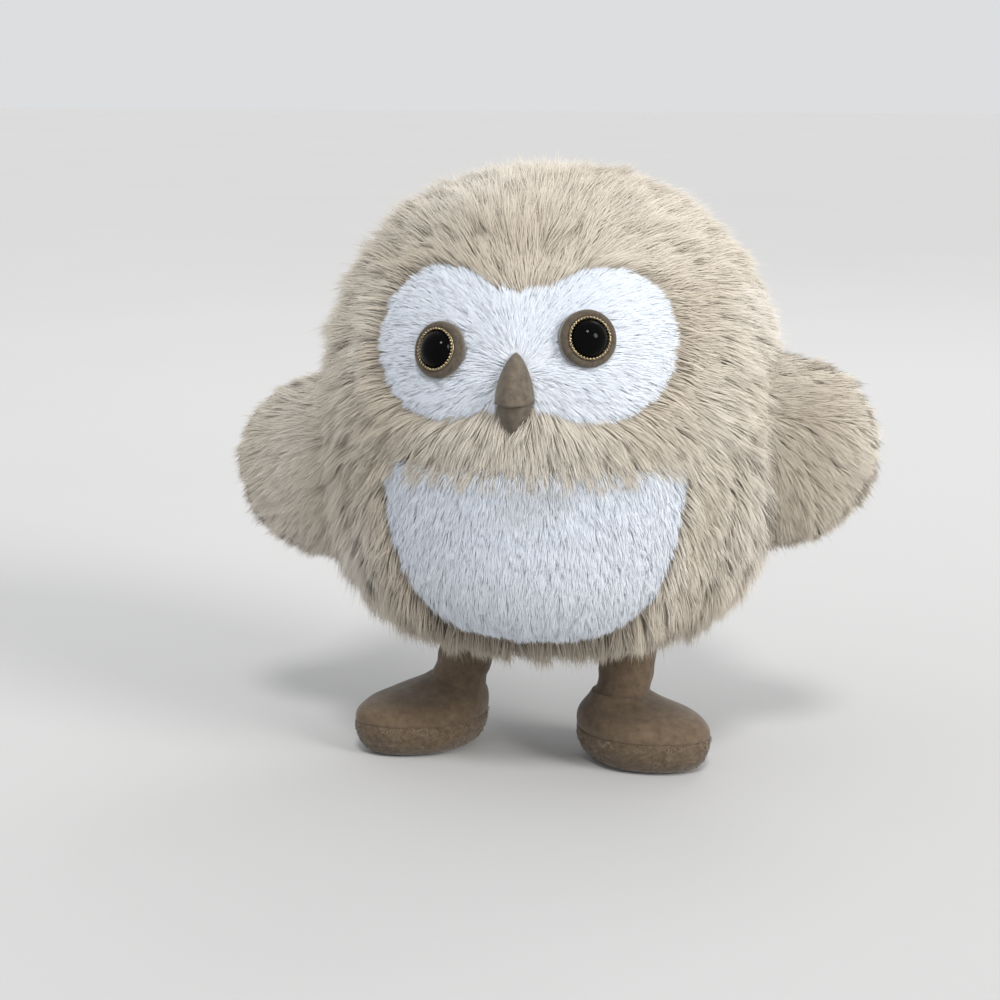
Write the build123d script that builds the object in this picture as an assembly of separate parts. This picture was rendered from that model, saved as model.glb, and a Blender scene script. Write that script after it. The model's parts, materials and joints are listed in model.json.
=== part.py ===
"""Interactive owl plush: a furred body on two stuffed legs, with motor-driven flapping wings.

Millimetres and degrees. The face looks along -Y, +X is the viewer's right, +Z is up.
"left" and "right" are the viewer's, seen from the front.
"""
import math
import os

from build123d import *

# Body: a solid of revolution, measured at the tips of the fur
BODY_RADIUS = 104
BODY_ABOVE = 112
BODY_BELOW = 104
BODY_Z = 160
TOP_FULLNESS = 2.3
BOTTOM_FULLNESS = 3.0
PROFILE_STEPS = 10
COAT_DEPTH = 14
WHITE_RECESS = 5
SOFT_GAP = 1.0

# Face and belly, as heights above or below the middle of the body
LOBE_X = 32
LOBE_Z = 41.5
LOBE_RADIUS = 31
BRIDGE_HALF_WIDTH = 18
BRIDGE_LOW = 16
BRIDGE_HIGH = 64
BELLY_X = 3.5
BELLY_TOP = -8
BELLY_HALF_WIDTH = 64.5
BELLY_DEPTH = 80
BEAK_X = -0.5
BEAK_Z = 20
BEAK_HALF_WIDTH = 8
BEAK_HEIGHT = 17
BEAK_DEPTH = 13
CHIN_HEIGHT = 14
CHIN_DEPTH = 9
BEAK_SEAT = 3
EYE_SPOT = {"left": (-33.9, 40), "right": (28.9, 46)}
EYE_TURN = 26
EYE_TILT = 14
EYE_SEAT = 2

# Eye pieces
DOME_RADIUS = 8
DOME_HEIGHT = 5
SUEDE_RADIUS = 12
SUEDE_HEIGHT = 3.6
BEAD_CIRCLE = 8.8
BEAD_RADIUS = 0.8
BAND_HEIGHT = 0.9
BEADS = 28
POST_RADIUS = 2.4
POST_LENGTH = 17
WASHER_DEPTH = 13
WASHER_RADIUS = 9
WASHER_THICKNESS = 1.5

# Wings and their drive
WING_SWING = 18
SWING_STEPS = 4
PIVOT_X = 44
PIVOT_Z = 156
DRIVE_Y = -10
GEAR_THICKNESS = 7
GEAR_MODULE = 1.0
PRESSURE_ANGLE = 20
ADDENDUM = 0.8
DEDENDUM = 1.15
BACKLASH = 0.16
SECTOR_TEETH = 60
SECTOR_HALF_ANGLE = 27
PINION_TEETH = 16
PINION_PITCHES_BELOW = 10
RUNNING_GAP = 0.05
PIN_RADIUS = 3
LEVER_HALF_HEIGHT = 6
LEVER_THICKNESS = 5
PADDLE_RADIUS = 18
WING_X = 95
WING_Y = 0
WING_Z = 142
WING_RADIUS = 50
WING_HALF_THICKNESS = 20
WING_PILE = 9

# Mechanism housing
HOUSING_HALF_WIDTH = 54
HOUSING_FRONT = -26
HOUSING_BACK = 30
HOUSING_LOW = 93
HOUSING_HIGH = 192
HOUSING_CORNER = 10
WALL = 2.2
BOSS_X = 44
BOSS_Z = (103, 182)
BOSS_RADIUS = 4
SCREW_RADIUS = 1.4
SCREW_REACH = 12
SCREW_HEAD_RADIUS = 3
PIVOT_BOSS_WALL = 2.5
GUIDE_RADIUS = 3.8
GUIDE_SPACING = 28
BUTTON_Z = 142
BUTTON_RADIUS = 7.9
BUTTON_TRAVEL = 2
SPEAKER_X = -20
SPEAKER_Z = 166
SPEAKER_RADIUS = 18

# Circuit board, batteries and the bottom zip
BOARD_FRONT = 3
BOARD_THICKNESS = 1.6
CELL_RADIUS = 7.1
CELL_LENGTH = 49.5
CELL_PITCH = 15.8
CELL_Z = 84
BATTERY_HALF_X = 29.5
BATTERY_HALF_Y = 25.5
BATTERY_Y = 2
BATTERY_LOW = 76
CASE_WALL = 1.6
SPRING_ROOM = 4
ZIP_HALF_WIDTH = 6
ZIP_LENGTH = 68
ZIP_Z = 66
ZIP_TOOTH_PITCH = 2.4
TOOTH_HALF_WIDTH = 0.9

# Legs and feet
HIP_X = 37
HIP_Y = 4
HIP_Z = 56
LEG_RADIUS = 12.5
LEG_CLOTH = 2
ANKLE_SPOT = {"left": (-47, 11), "right": (33, -2)}
ANKLE_Z = 22
HIP_FORWARD = 30
ANKLE_SWING = 12
FOOT_HALF = (23, 31, 17.5)
FOOT_Z = 12
FOOT_CLOTH = 3
HEEL_TO_TOE_SHIFT = {"left": 17, "right": 12}
TOE_OUT = {"left": 52, "right": 68}

SIDES = (("left", -1), ("right", 1))
SECTOR_RADIUS = GEAR_MODULE * SECTOR_TEETH / 2
PINION_RADIUS = GEAR_MODULE * PINION_TEETH / 2
TOOTH_PITCH = math.pi * GEAR_MODULE
RACK_HALF_WIDTH = PIVOT_X - SECTOR_RADIUS
RACK_TRAVEL = SECTOR_RADIUS * math.radians(WING_SWING)
PINION_X = RACK_HALF_WIDTH + PINION_RADIUS
PINION_Z = PIVOT_Z - PINION_PITCHES_BELOW * TOOTH_PITCH


def box(low, high):
    """A box between two opposite corners."""
    size = [b - a for a, b in zip(low, high)]
    middle = [(a + b) / 2 for a, b in zip(low, high)]
    return Pos(*middle) * Box(*size)


def rod(radius, x, z, y_from, y_to):
    """A cylinder lying along Y."""
    return Pos(x, (y_from + y_to) / 2, z) * Rot(90, 0, 0) * Cylinder(radius, abs(y_to - y_from))


def ball(x, y, z, radius):
    return Pos(x, y, z) * Sphere(radius)


def ellipsoid(half_sizes):
    return scale(Sphere(1), by=tuple(float(size) for size in half_sizes))


def egg(inset):
    """The body's form, drawn in by inset from the fur's tips."""
    radius = BODY_RADIUS - inset

    def rim(step, fullness, reach):
        turn = math.radians(90 * step / PROFILE_STEPS)
        across = radius * max(math.cos(turn), 0) ** (2 / fullness)
        up = reach * math.sin(turn) ** (2 / fullness)
        return (round(across, 6), 0, BODY_Z + up)

    upper = [rim(step, TOP_FULLNESS, BODY_ABOVE - inset) for step in range(PROFILE_STEPS + 1)]
    lower = [rim(step, BOTTOM_FULLNESS, inset - BODY_BELOW) for step in range(PROFILE_STEPS + 1)]
    outline = [
        Spline(*upper, tangents=[(0, 0, 1), (-1, 0, 0)]),
        Line(upper[-1], lower[-1]),
        Spline(*reversed(lower), tangents=[(1, 0, 0), (0, 0, 1)]),
    ]
    return revolve(Face(Wire(outline)), Axis.Z, 360)


def egg_radius(height, inset):
    """The radius of the body's form at a height above its middle."""
    fullness = TOP_FULLNESS if height > 0 else BOTTOM_FULLNESS
    reach = BODY_ABOVE if height > 0 else BODY_BELOW
    share = 1 - abs(height / (reach - inset)) ** fullness
    return (BODY_RADIUS - inset) * share ** (1 / fullness)


def seen_from_front(sketch):
    """A sketch in the XZ plane pushed forward through the front half of the body."""
    return extrude(Plane.XZ * sketch, 2 * BODY_RADIUS)


def turned(shape, pivot, direction, angle):
    return shape.rotate(Axis(pivot, direction), angle)


def spread(low, high, steps):
    return [low + (high - low) * step / steps for step in range(steps + 1)]


# ---- gears ----

def roll(angle):
    return math.tan(angle) - angle


def gear_outline(teeth, first, last):
    """Points round the teeth of a gear whose tooth 0 is centred on +X."""
    pitch_radius = GEAR_MODULE * teeth / 2
    base = pitch_radius * math.cos(math.radians(PRESSURE_ANGLE))
    tip = pitch_radius + ADDENDUM * GEAR_MODULE
    root = pitch_radius - DEDENDUM * GEAR_MODULE
    half_at_pitch = math.pi / (2 * teeth) - BACKLASH / (2 * pitch_radius)
    half_at_base = half_at_pitch + roll(math.radians(PRESSURE_ANGLE))
    start = max(root, base)
    flank = []
    for radius in spread(start, tip, 4):
        lean = half_at_base - roll(math.acos(min(1, base / radius)))
        flank.append((radius, lean))
    if root < start:
        flank.insert(0, (root, half_at_base))
    points = []
    for tooth in range(first, last + 1):
        middle = 2 * math.pi * tooth / teeth
        points += [(r, middle - lean) for r, lean in flank]
        points += [(r, middle + lean) for r, lean in reversed(flank)]
    return [(r * math.cos(turn), r * math.sin(turn)) for r, turn in points]


def gear_plate(points):
    """A plate in the drive plane from an outline drawn in X and Z round the origin."""
    plate = extrude(Plane.XZ * make_face(Polyline(*points, close=True)), GEAR_THICKNESS)
    return Pos(0, DRIVE_Y + GEAR_THICKNESS / 2, 0) * plate


def rack_side(low, high):
    """Points up one toothed edge of the rack, with a gap between teeth at PIVOT_Z."""
    slope = math.tan(math.radians(PRESSURE_ANGLE))
    half_thick = (TOOTH_PITCH - BACKLASH) / 4 + BACKLASH / 8
    tip = ADDENDUM * GEAR_MODULE
    root = -DEDENDUM * GEAR_MODULE
    first = math.ceil((low - PIVOT_Z) / TOOTH_PITCH)
    last = math.floor((high - PIVOT_Z) / TOOTH_PITCH) - 1
    points = []
    for tooth in range(first, last + 1):
        middle = PIVOT_Z + (tooth + 0.5) * TOOTH_PITCH
        half_root = half_thick - root * slope
        half_tip = half_thick - tip * slope
        points.append((RACK_HALF_WIDTH + root, middle - half_root))
        points.append((RACK_HALF_WIDTH + tip, middle - half_tip))
        points.append((RACK_HALF_WIDTH + tip, middle + half_tip))
        points.append((RACK_HALF_WIDTH + root, middle + half_root))
    return points


# ---- legs ----

def leg_tube(hip, ankle, radius):
    """A round-ended tube from the hip to the ankle."""
    along = Vector(*ankle) - Vector(*hip)
    middle = Vector(*hip) + along * 0.5
    tube = Plane(origin=middle, z_dir=along).location * Cylinder(radius, along.length)
    return tube + ball(*hip, radius) + ball(*ankle, radius)


def ankle_funnel(hip, ankle):
    """The room a foot leaves round the end of its leg, so that it can tip about the ankle."""
    along = Vector(*hip) - Vector(*ankle)
    radius = LEG_RADIUS + SOFT_GAP
    mouth = radius + along.length * math.tan(math.radians(ANKLE_SWING + 1))
    middle = Vector(*ankle) + along * 0.5
    funnel = Plane(origin=middle, z_dir=along).location * Cone(radius, mouth, along.length)
    return funnel + ball(*ankle, radius)


def leg_ends(side, sign):
    """The hip and the ankle, the two points a leg turns about."""
    hip = (sign * HIP_X, HIP_Y, HIP_Z)
    ankle = (*ANKLE_SPOT[side], ANKLE_Z)
    return hip, ankle


def hip_room(hip):
    """The room the body leaves round the top of a leg: a ball, and a cone the leg swings in."""
    x, y, z = hip
    radius = LEG_RADIUS + SOFT_GAP
    above = radius / 2
    below = 10
    neck = radius * 0.95
    mouth = neck + (above + below) * math.tan(math.radians(HIP_FORWARD + 9))
    cone = Pos(x, y, z + (above - below) / 2) * Cone(mouth, neck, above + below)
    return cone + ball(x, y, z, radius)


nodes = {}

# ---- furred body with its white panels ----

body_tips = egg(0)
body_white = egg(WHITE_RECESS)
body_inside = egg(COAT_DEPTH)
coat_layer = body_tips - body_inside
white_layer = body_white - body_inside
stuffing = body_inside
for side, sign in SIDES:
    room = hip_room(leg_ends(side, sign)[0])
    coat_layer = coat_layer - room
    white_layer = white_layer - room
    stuffing = stuffing - room
lobe = Circle(LOBE_RADIUS)
mask_sketch = Pos(-LOBE_X, BODY_Z + LOBE_Z) * lobe + Pos(LOBE_X, BODY_Z + LOBE_Z) * lobe
bridge_height = BRIDGE_HIGH - BRIDGE_LOW
bridge_middle = BODY_Z + (BRIDGE_HIGH + BRIDGE_LOW) / 2
mask_sketch += Pos(0, bridge_middle) * Rectangle(2 * BRIDGE_HALF_WIDTH, bridge_height)
mask_prism = seen_from_front(mask_sketch)
belly_sketch = Pos(BELLY_X, BODY_Z + BELLY_TOP) * Ellipse(BELLY_HALF_WIDTH, BELLY_DEPTH)
belly_middle = BODY_Z + BELLY_TOP - BELLY_DEPTH / 2
belly_keep = Pos(BELLY_X, belly_middle) * Rectangle(2 * BELLY_HALF_WIDTH, BELLY_DEPTH)
belly_prism = seen_from_front(belly_sketch & belly_keep)

fur_coat = coat_layer - mask_prism - belly_prism
face_mask = white_layer & mask_prism
belly_panel = white_layer & belly_prism

# ---- beak ----

beak_y = BEAK_SEAT - egg_radius(BEAK_Z, WHITE_RECESS)
beak_place = Pos(BEAK_X, beak_y, BODY_Z + BEAK_Z)
above_mouth = box((-50, -50, 0), (50, 50, 50))
below_mouth = box((-50, -50, -50), (50, 50, -0.2))
beak_form = ellipsoid((BEAK_HALF_WIDTH, BEAK_DEPTH, BEAK_HEIGHT))
chin_form = ellipsoid((BEAK_HALF_WIDTH * 0.85, CHIN_DEPTH, CHIN_HEIGHT))
beak_upper = beak_place * (beak_form & above_mouth) - body_white
beak_lower = beak_place * (chin_form & below_mouth) - body_white
fur_coat = fur_coat - beak_upper - beak_lower
nodes["beak_upper"] = beak_upper
nodes["beak_lower"] = beak_lower

# ---- eyes: dome and post, gold beaded ring, suede ring, lock washer ----

def eye_place(side, sign):
    """Where an eye sits on the white panel, and the way it faces."""
    x, height = EYE_SPOT[side]
    turn = math.radians(EYE_TURN)
    tilt = math.radians(EYE_TILT)
    level = math.cos(tilt)
    facing = Vector(sign * math.sin(turn) * level, -math.cos(turn) * level, math.sin(tilt))
    depth = math.sqrt(egg_radius(height, WHITE_RECESS) ** 2 - x ** 2)
    point = Vector(x, -depth, BODY_Z + height) - facing * EYE_SEAT
    return Plane(origin=point, z_dir=facing).location


def disc(radius, low, high):
    return Pos(0, 0, (low + high) / 2) * Cylinder(radius, high - low)


cap_radius = (DOME_RADIUS ** 2 + DOME_HEIGHT ** 2) / (2 * DOME_HEIGHT)
cap = Pos(0, 0, SUEDE_HEIGHT + DOME_HEIGHT - cap_radius) * Sphere(cap_radius)
post = disc(POST_RADIUS, -POST_LENGTH, 0)
dome = (cap & disc(DOME_RADIUS, SUEDE_HEIGHT, SUEDE_HEIGHT + DOME_HEIGHT))
dome += disc(DOME_RADIUS, 0, SUEDE_HEIGHT) + post
suede = disc(SUEDE_RADIUS, 0, SUEDE_HEIGHT)
suede = fillet(suede.edges().group_by(Axis.Z)[-1], 2) - disc(DOME_RADIUS, 0, SUEDE_HEIGHT)
band_top = SUEDE_HEIGHT + BAND_HEIGHT
gold = disc(BEAD_CIRCLE + 0.7, SUEDE_HEIGHT, band_top)
half_bead = Sphere(BEAD_RADIUS) & box((-5, -5, 0), (5, 5, 5))
for bead in range(BEADS):
    around = 2 * math.pi * bead / BEADS
    x = BEAD_CIRCLE * math.cos(around)
    y = BEAD_CIRCLE * math.sin(around)
    gold += Pos(x, y, band_top) * half_bead
gold = gold - dome
washer_disc = disc(WASHER_RADIUS, -WASHER_DEPTH, WASHER_THICKNESS - WASHER_DEPTH)
washer = washer_disc - post
seat = disc(SUEDE_RADIUS, 0, 30) + post
inner_room = post + washer_disc

washers = []
for side, sign in SIDES:
    place = eye_place(side, sign)
    face_mask = face_mask - place * seat
    fur_coat = fur_coat - place * seat
    stuffing = stuffing - place * inner_room
    nodes["eye_dome_" + side] = place * dome
    nodes["eye_gold_ring_" + side] = place * gold
    nodes["eye_suede_ring_" + side] = place * suede
    washers.append(place * washer)
nodes["eye_lock_washers"] = Compound(washers)

# ---- mechanism housing ----

def housing_block(inset):
    low = (-HOUSING_HALF_WIDTH + inset, HOUSING_FRONT + inset, HOUSING_LOW + inset)
    high = (HOUSING_HALF_WIDTH - inset, HOUSING_BACK - inset, HOUSING_HIGH - inset)
    block = box(low, high)
    return fillet(block.edges().filter_by(Axis.Y), HOUSING_CORNER - inset)


front_space = box((-200, -200, 0), (200, 0, 400))
back_space = box((-200, 0, 0), (200, 200, 400))
shell = housing_block(0) - housing_block(WALL)
housing_front = shell & front_space
housing_rear = shell & back_space
inner_front = HOUSING_FRONT + WALL
inner_back = HOUSING_BACK - WALL
hub_front = DRIVE_Y - GEAR_THICKNESS / 2 - 0.3
hub_back = DRIVE_Y + GEAR_THICKNESS / 2 + 0.3
screws = []
for x in (-BOSS_X, BOSS_X):
    for z in BOSS_Z:
        housing_front += rod(BOSS_RADIUS, x, z, inner_front, 0)
        housing_rear += rod(BOSS_RADIUS, x, z, 0, inner_back)
        shank = rod(SCREW_RADIUS, x, z, -SCREW_REACH, inner_back)
        screws.append(shank + rod(SCREW_HEAD_RADIUS, x, z, inner_back, HOUSING_BACK))
for screw in screws:
    housing_front -= screw
    housing_rear -= screw
nodes["housing_screws"] = Compound(screws)

pins = []
for x in (-PIVOT_X, PIVOT_X):
    pin = rod(PIN_RADIUS, x, PIVOT_Z, inner_front, 8)
    pins.append(pin)
    housing_front += rod(PIN_RADIUS + PIVOT_BOSS_WALL, x, PIVOT_Z, inner_front, hub_front) - pin
    housing_front -= pin
    housing_rear += rod(PIN_RADIUS + PIVOT_BOSS_WALL, x, PIVOT_Z, hub_back, inner_back) - pin
nodes["wing_pivot_pins"] = Compound(pins)

guide_low = PIVOT_Z - GUIDE_SPACING
for z in (guide_low, PIVOT_Z):
    housing_front += rod(GUIDE_RADIUS, 0, z, inner_front, -2)

# ---- press button in front of the rack ----

button_hole = rod(BUTTON_RADIUS + 0.1, 0, BUTTON_Z, HOUSING_FRONT - 1, inner_front + 0.1)
button = rod(BUTTON_RADIUS, 0, BUTTON_Z, HOUSING_FRONT - 4, inner_front + 1)
button += rod(9.4, 0, BUTTON_Z, inner_front + 0.2, inner_front + 1.6)
nodes["press_button"] = button
housing_front -= button_hole
switch_front = inner_front + 1.6 + BUTTON_TRAVEL + 0.2
switch_plate = switch_front + 1.6
for side in (-1, 1):
    rib_inner = 10
    low = (min(side * rib_inner, side * 13), inner_front, BUTTON_Z - 5)
    high = (max(side * rib_inner, side * 13), switch_plate, BUTTON_Z + 5)
    housing_front += box(low, high)
switch = box((-13, switch_plate, BUTTON_Z - 6), (13, switch_plate + 1.2, BUTTON_Z + 6))
nodes["button_switch"] = switch + rod(3, 0, BUTTON_Z, switch_front, switch_plate)

# ---- wing drive: sector levers, double-sided rack, motor pinion ----

fan = gear_outline(SECTOR_TEETH, -4, 4)
sector = gear_plate([(0, 0)] + fan)
sector = Rot(0, 180, 0) * sector
hub = rod(8, 0, 0, DRIVE_Y - GEAR_THICKNESS / 2, DRIVE_Y + GEAR_THICKNESS / 2)
arm_end = WING_X + 8 - PIVOT_X
half_thick = LEVER_THICKNESS / 2
lever_front = DRIVE_Y - half_thick
lever_back = DRIVE_Y + half_thick
arm = box((0, lever_front, -LEVER_HALF_HEIGHT), (arm_end, lever_back, LEVER_HALF_HEIGHT))
bore = rod(PIN_RADIUS + RUNNING_GAP, 0, 0, -40, 20)
body_room = egg(-SOFT_GAP)
swing = spread(-WING_SWING, WING_SWING, SWING_STEPS)
wing_pivot = (PIVOT_X, 0, PIVOT_Z)
body_seen_by_wing = [turned(body_room, wing_pivot, (0, 1, 0), angle) for angle in swing]
paddle = rod(PADDLE_RADIUS, WING_X + 16, PIVOT_Z - 8, lever_front, lever_back)
for body_seen in body_seen_by_wing:
    paddle = paddle - body_seen
lever = Pos(PIVOT_X, 0, PIVOT_Z) * (sector + hub + arm - bore) + paddle
nodes["wing_lever_right"] = lever
nodes["wing_lever_left"] = mirror(lever, Plane.YZ)

half_reach = SECTOR_RADIUS * math.sin(math.radians(SECTOR_HALF_ANGLE)) + RACK_TRAVEL
rack_top = PIVOT_Z + half_reach
rack_low_left = PIVOT_Z - half_reach
rack_low = PINION_Z - RACK_TRAVEL - PINION_RADIUS
right_edge = rack_side(rack_low, rack_top)
left_edge = [(-x, z) for x, z in rack_side(rack_low_left, rack_top)]
rack_inner = RACK_HALF_WIDTH - DEDENDUM * GEAR_MODULE
left_down = list(reversed(left_edge))
rack_outline = [(rack_inner, rack_low)] + right_edge
rack_outline += [(rack_inner, rack_top), (-rack_inner, rack_top)]
rack_outline += left_down + [(-rack_inner, rack_low)]
rack = gear_plate(rack_outline)
slot_half = GUIDE_RADIUS + 0.15
slot_low = guide_low - RACK_TRAVEL - 0.5
slot_high = PIVOT_Z + RACK_TRAVEL + 0.5
slot = box((-slot_half, -40, slot_low), (slot_half, 20, slot_high))
slot += rod(slot_half, 0, slot_low, -40, 20) + rod(slot_half, 0, slot_high, -40, 20)
nodes["drive_rack"] = rack - slot

pinion = Rot(0, 180, 0) * gear_plate(gear_outline(PINION_TEETH, 0, PINION_TEETH - 1))
pinion = Pos(PINION_X, 0, PINION_Z) * pinion
pinion += rod(2, PINION_X, PINION_Z, DRIVE_Y, 5.8)
nodes["motor_pinion"] = pinion
gearbox = box((PINION_X - 11, 0.2, PINION_Z - 13), (PINION_X + 11, 14, PINION_Z + 13))
gearbox = fillet(gearbox.edges().filter_by(Axis.Y), 2)
gearbox += rod(9.5, PINION_X, PINION_Z, 14, inner_back)
nodes["gear_motor"] = gearbox - rod(2 + RUNNING_GAP, PINION_X, PINION_Z, -1, 6)

# ---- circuit board and speaker ----

board_back = BOARD_FRONT + BOARD_THICKNESS
nodes["circuit_board"] = box((-49, BOARD_FRONT, 108.5), (6, board_back, 148))
processor = box((-40, board_back, 118), (-26, board_back + 2, 132))
lead_socket = box((-18, board_back, 110), (-6, board_back + 3, 116))
sound_chip = box((-18, board_back, 134), (-8, board_back + 5.4, 140))
large_capacitor = rod(3, -2, 126, board_back, board_back + 9.4)
small_capacitor = rod(2.5, -22, 143, board_back, board_back + 6.4)
chips = [processor, lead_socket, sound_chip, large_capacitor, small_capacitor]
nodes["board_parts"] = Compound(chips)
basket = rod(SPEAKER_RADIUS, SPEAKER_X, SPEAKER_Z, 16, inner_back)
basket -= rod(SPEAKER_RADIUS - 1.5, SPEAKER_X, SPEAKER_Z, 17.5, inner_back)
basket -= rod(8, SPEAKER_X, SPEAKER_Z, 15, 18)
nodes["speaker_basket"] = basket
nodes["speaker_magnet"] = rod(10, SPEAKER_X, SPEAKER_Z, 9, 16)
cone_form = Pos(SPEAKER_X, 22, SPEAKER_Z) * Rot(-90, 0, 0) * Cone(7, SPEAKER_RADIUS - 2, 8)
cone_hollow = Pos(SPEAKER_X, 22.8, SPEAKER_Z) * Rot(-90, 0, 0) * Cone(7, SPEAKER_RADIUS - 2, 8)
nodes["speaker_cone"] = cone_form - cone_hollow
for ring_radius, holes in ((0, 1), (6, 6), (11.5, 12)):
    for hole in range(holes):
        around = 2 * math.pi * hole / holes
        x = SPEAKER_X + ring_radius * math.cos(around)
        z = SPEAKER_Z + ring_radius * math.sin(around)
        housing_rear -= rod(1.4, x, z, inner_back - 1, HOUSING_BACK + 1)

# ---- battery box, cells, door and power switch ----

battery_high = HOUSING_LOW
case_low = (-BATTERY_HALF_X, BATTERY_Y - BATTERY_HALF_Y, BATTERY_LOW)
case_high = (BATTERY_HALF_X, BATTERY_Y + BATTERY_HALF_Y, battery_high)
hollow_low = (case_low[0] + CASE_WALL, case_low[1] + CASE_WALL, BATTERY_LOW)
hollow_high = [edge - CASE_WALL for edge in case_high]
nodes["battery_case"] = box(case_low, case_high) - box(hollow_low, hollow_high)
cells = []
springs = []
plates = []
cell_start = -BATTERY_HALF_X + CASE_WALL + SPRING_ROOM
for place in (-1, 0, 1):
    y = BATTERY_Y + place * CELL_PITCH
    along_x = Rot(0, 90, 0)
    middle = cell_start + CELL_LENGTH / 2
    body = Pos(middle, y, CELL_Z) * along_x * Cylinder(CELL_RADIUS, CELL_LENGTH)
    nub = Pos(cell_start + CELL_LENGTH + 0.5, y, CELL_Z) * along_x * Cylinder(2.5, 1)
    cells.append(body + nub)
    coil_path = Helix(pitch=1.3, height=3.0, radius=3.4, center=(0, 0, 0))
    start = coil_path @ 0
    profile = Plane(origin=start, z_dir=coil_path % 0) * Circle(0.35)
    coil = sweep(profile, path=coil_path)
    springs.append(Pos(cell_start - 3.5, y, CELL_Z) * along_x * coil)
    plate_x = cell_start + CELL_LENGTH + 1
    plates.append(box((plate_x, y - 5, CELL_Z - 5), (plate_x + 0.5, y + 5, CELL_Z + 5)))
nodes["battery_cells"] = Compound(cells)
nodes["battery_springs"] = Compound(springs)
nodes["battery_plates"] = Compound(plates)
door_low = (case_low[0], case_low[1], BATTERY_LOW - 2)
door_high = (case_high[0], case_high[1], BATTERY_LOW)
door = box(door_low, door_high)
door_screw_y = BATTERY_Y + BATTERY_HALF_Y - 3
door_screw = Pos(20, door_screw_y, BATTERY_LOW - 1) * Cylinder(2.4, 2)
nodes["battery_door"] = door - door_screw
nodes["battery_door_screw"] = door_screw
switch_y = BATTERY_Y + BATTERY_HALF_Y
switch_case = box((-7, switch_y, BATTERY_LOW), (7, switch_y + 6, BATTERY_LOW + 9))
switch_case -= box((-4.8, switch_y + 1.5, BATTERY_LOW), (4.8, switch_y + 4.5, BATTERY_LOW + 5))
nodes["power_switch"] = switch_case
knob = box((-4.5, switch_y + 1.8, BATTERY_LOW - 2), (-0.5, switch_y + 4.2, BATTERY_LOW + 4))
nodes["power_switch_knob"] = knob
nodes["housing_front"] = housing_front
nodes["housing_rear"] = housing_rear

# ---- head touch pad and internal leads ----

pad_z = BODY_Z + BODY_ABOVE - COAT_DEPTH - 7
nodes["head_touch_pad"] = Pos(0, 0, pad_z) * Cylinder(24, 1.5)
pad_lead = Pos(12, 4, 0) * disc(1, HOUSING_HIGH, pad_z - 0.75)
nodes["touch_pad_lead"] = pad_lead

# ---- room in the stuffing and the coat for what sits or moves there ----

reach = 130
rise = math.tan(math.radians(WING_SWING + 1))
lever_room_half = LEVER_HALF_HEIGHT + SOFT_GAP
fan_points = [
    (0, -lever_room_half), (reach, -lever_room_half - reach * rise),
    (reach, lever_room_half + reach * rise), (0, lever_room_half),
]
fan_face = make_face(Polyline(*fan_points, close=True))
fan_depth = LEVER_THICKNESS + 2 * SOFT_GAP
lever_room = extrude(Plane.XZ * fan_face, fan_depth)
lever_room = Pos(PIVOT_X, DRIVE_Y + fan_depth / 2, PIVOT_Z) * lever_room
lever_rooms = lever_room + mirror(lever_room, Plane.YZ)
right_of_housing = box((HOUSING_HALF_WIDTH - 6, -40, 100), (150, 20, 220))
side_openings = lever_rooms & (right_of_housing + mirror(right_of_housing, Plane.YZ))
nodes["housing_front"] = nodes["housing_front"] - side_openings

battery_room_low = (case_low[0] - 1, case_low[1] - 1, 60)
battery_room_high = (case_high[0] + 1, switch_y + 8, battery_high)
battery_room = box(battery_room_low, battery_room_high)
button_room = rod(11, 0, BUTTON_Z, HOUSING_FRONT - 6, HOUSING_FRONT)
stuffing = stuffing - housing_block(0) - battery_room - button_room - side_openings
stuffing = stuffing - nodes["head_touch_pad"] - pad_lead
fur_coat = fur_coat - side_openings

# ---- bottom zip ----

zip_start = BATTERY_Y - ZIP_LENGTH / 2
zip_end = BATTERY_Y + ZIP_LENGTH / 2
zip_room = box((-ZIP_HALF_WIDTH, zip_start, 40), (ZIP_HALF_WIDTH, zip_end, ZIP_Z + 8))
fur_coat = fur_coat - zip_room
belly_panel = belly_panel - zip_room
tape = box((TOOTH_HALF_WIDTH, zip_start, ZIP_Z), (ZIP_HALF_WIDTH, zip_end, ZIP_Z + 1))
nodes["zip_tape_right"] = tape
nodes["zip_tape_left"] = mirror(tape, Plane.YZ)
teeth = []
tooth_count = int((ZIP_LENGTH - 4) / ZIP_TOOTH_PITCH)
for tooth in range(tooth_count):
    y = zip_start + 2 + tooth * ZIP_TOOTH_PITCH
    low = (-TOOTH_HALF_WIDTH, y, ZIP_Z - 0.6)
    high = (TOOTH_HALF_WIDTH, y + 1.4, ZIP_Z + 1.6)
    teeth.append(box(low, high))
nodes["zip_teeth"] = Compound(teeth)
slider_back = zip_end - 3
slider = box((-4, slider_back - 9, ZIP_Z - 3.4), (4, slider_back, ZIP_Z - 0.9))
slider = fillet(slider.edges().filter_by(Axis.Z), 2)
pull = box((-2, slider_back - 16, ZIP_Z - 5), (2, slider_back - 2, ZIP_Z - 3.8))
pull_post = box((-1, slider_back - 5, ZIP_Z - 3.8), (1, slider_back - 3, ZIP_Z - 3.4))
nodes["zip_slider"] = slider + pull + pull_post

# ---- wings ----

def wing_form(inset):
    radius = WING_RADIUS - inset
    form = ellipsoid((radius, WING_HALF_THICKNESS - inset, radius))
    return Pos(WING_X, WING_Y, WING_Z) * form


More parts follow.
